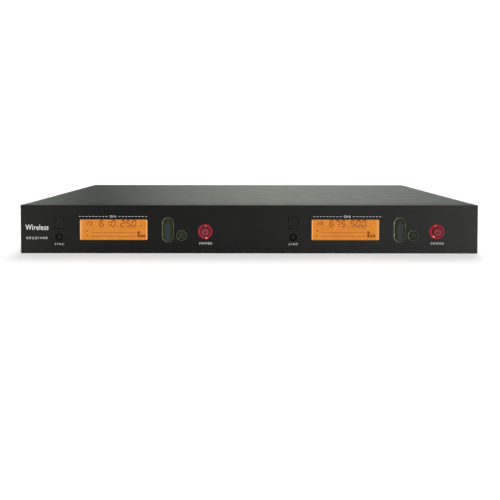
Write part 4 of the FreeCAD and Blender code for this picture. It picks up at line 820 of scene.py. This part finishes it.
def thread(name, node, radius, start, end, pitch, depth, material):
    """A helical ridge round a Y axis, from start to end along it, that fades in and out."""
    steps_per_turn, fading_steps = 40, 14
    root = radius - 0.02 * MM
    centre = middle(node)
    turns = (end - start) / pitch
    steps = int(turns * steps_per_turn)
    mesh = bmesh.new()
    rows = []
    for step in range(steps + 1):
        angle = 2 * math.pi * turns * step / steps
        crest = radius + depth * min(1.0, step / fading_steps, (steps - step) / fading_steps)
        y = start + (end - start) * step / steps
        ray = Vector((math.cos(angle), 0, math.sin(angle)))
        rows.append([mesh.verts.new(Vector((centre.x, y + along * pitch, centre.z))
                                    + ray * reach)
                     for along, reach in ((-0.42, root), (-0.08, crest), (0.08, crest),
                                          (0.42, root))])
    for row, following in zip(rows, rows[1:]):
        for side in range(4):
            other = (side + 1) % 4
            mesh.faces.new((row[side], following[side], following[other], row[other]))
    mesh.faces.new(rows[0])
    mesh.faces.new(rows[-1][::-1])
    bmesh.ops.recalc_face_normals(mesh, faces=mesh.faces)
    data = bpy.data.meshes.new(name)
    mesh.to_mesh(data)
    mesh.free()
    for face in data.polygons:
        face.use_smooth = True
    data.materials.append(material)
    thing = bpy.data.objects.new(name, data)
    scene.collection.objects.link(thing)
    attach(thing, "case")


def jack_thread():
    """The thread of the mix output's neck, past its nut."""
    neck_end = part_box("mix_jack_body")[1].y
    nut_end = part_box("mix_jack_nut")[1].y
    neck = (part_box("mix_jack_ferrule")[1].x - middle("mix_jack_ferrule").x) + 1.1 * MM
    thread("jack_neck_thread", "mix_jack_ferrule", neck, nut_end - 0.2 * MM,
           neck_end - 0.25 * MM, 0.75 * MM, 0.22 * MM, nodes["mix_jack_nut"].data.materials[0])


# Studio

def floor():
    """A wide, pale floor."""
    reach = 30.0
    mesh = bpy.data.meshes.new("floor")
    mesh.from_pydata([(-reach, -reach, 0), (reach, -reach, 0), (reach, reach, 0),
                      (-reach, reach, 0)], [], [(0, 1, 2, 3)])
    pale = Surface("floor_pale", (0.93, 0.93, 0.93), 0.9, Specular_IOR_Level=0.1)
    pale.colour(pale.mix(pale.spread(pale.noise(0.4, 2), 0.3, 0.7), (0.925, 0.925, 0.925),
                         (0.935, 0.935, 0.935)))
    mesh.materials.append(pale.material)
    thing = bpy.data.objects.new("floor", mesh)
    scene.collection.objects.link(thing)


def surround():
    """A white studio, brightest behind and right of the middle, dim on the camera's side."""
    world = bpy.data.worlds.new("surround")
    scene.world = world
    sky = Nodes(world, "Generated")
    sideways, forward, upward = (sky.axis(letter) for letter in "XYZ")
    behind = sky.ramp(sky.spread(sideways, -1, 1), BEHIND, (0.96, 1.07, 0.91))
    ahead = sky.ramp(sky.spread(sideways, -1, 1), AHEAD, (1.0, 1.0, 1.03))
    low_ahead = sky.mix(sky.spread(upward, 0.15, 0.5), ahead, (0.12, 0.12, 0.12))
    rising = sky.mix(sky.spread(upward, 0.0, 0.22, 0.9, 0.0), behind, (0, 0, 0))
    level = sky.mix(sky.spread(forward, -0.25, 0.35), low_ahead, rising)
    light = sky.mix(sky.spread(upward, 0.35, 0.9), level, (0.30, 0.30, 0.30))
    shade = sky.tree.nodes["Background"]
    sky.link(light, shade.inputs["Color"])
    white = sky.add("ShaderNodeBackground")
    white.inputs["Color"].default_value = (1, 1, 1, 1)
    white.inputs["Strength"].default_value = 1.1
    blend = sky.add("ShaderNodeMixShader")
    sky.link(sky.add("ShaderNodeLightPath").outputs["Is Camera Ray"], blend.inputs[0])
    sky.link(shade.outputs[0], blend.inputs[1])
    sky.link(white.outputs[0], blend.inputs[2])
    sky.link(blend.outputs[0], sky.tree.nodes["World Output"].inputs["Surface"])


def suns():
    """Broad soft lights from above, one towards the front and one towards the rear."""
    for name, slant, energy in (("front_sun", 0.75, 2.3), ("rear_sun", -0.75, 1.5)):
        lamp = bpy.data.lights.new(name, "SUN")
        lamp.energy = energy
        lamp.angle = math.radians(40)
        holder = bpy.data.objects.new(name, lamp)
        aim = Vector((-0.15, slant, -1))
        holder.rotation_euler = aim.to_track_quat("-Z", "Y").to_euler()
        scene.collection.objects.link(holder)


def cards():
    """Upright cards that light the front panel alone, more towards its ends. They are lower
    than its top return and shine through the floor."""
    away, high, low_middle = 2.0, 0.7, -0.31
    lit = bpy.data.collections.new("lit_by_cards")
    lit.objects.link(nodes["front_panel"])
    for name, angle, spread, energy in CARDS:
        lamp = bpy.data.lights.new(name, "AREA")
        lamp.shape = "RECTANGLE"
        lamp.size = 2 * away * math.tan(math.radians(spread / 2))
        lamp.size_y = high
        lamp.energy = energy
        holder = bpy.data.objects.new(name, lamp)
        heading = Vector((math.sin(math.radians(angle)), -math.cos(math.radians(angle)), 0))
        holder.location = heading * away + Vector((0, 0, low_middle))
        holder.rotation_euler = (-heading).to_track_quat("-Z", "Y").to_euler()
        holder.visible_diffuse = False
        holder.visible_camera = False
        holder.light_linking.receiver_collection = lit
        holder.light_linking.blocker_collection = lit
        scene.collection.objects.link(holder)


def camera():
    """From in front and a little above, almost level, and framed with shift."""
    data = bpy.data.cameras.new("camera")
    data.sensor_width = 36
    data.lens = 32.07
    data.shift_x = 0.0072
    data.shift_y = -0.1915
    data.clip_start = 0.01
    data.clip_end = 50
    holder = bpy.data.objects.new("camera", data)
    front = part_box("front_panel")[0].y
    holder.location = (-2.7 * MM, front - 407 * MM, 100.8 * MM)
    holder.rotation_euler = (math.radians(88.65), math.radians(-0.05), 0)
    scene.collection.objects.link(holder)
    scene.camera = holder


camera()
floor()
surround()
suns()
cards()
dress_cad()
front_legends()
display_figures("a", "25", "610", "250")
display_figures("b", "38", "675", "500")
for channel in CHANNELS:
    key_marks(channel)
rear_legends()
sticker_print()
jack_thread()
scene.view_settings.view_transform = "Standard"
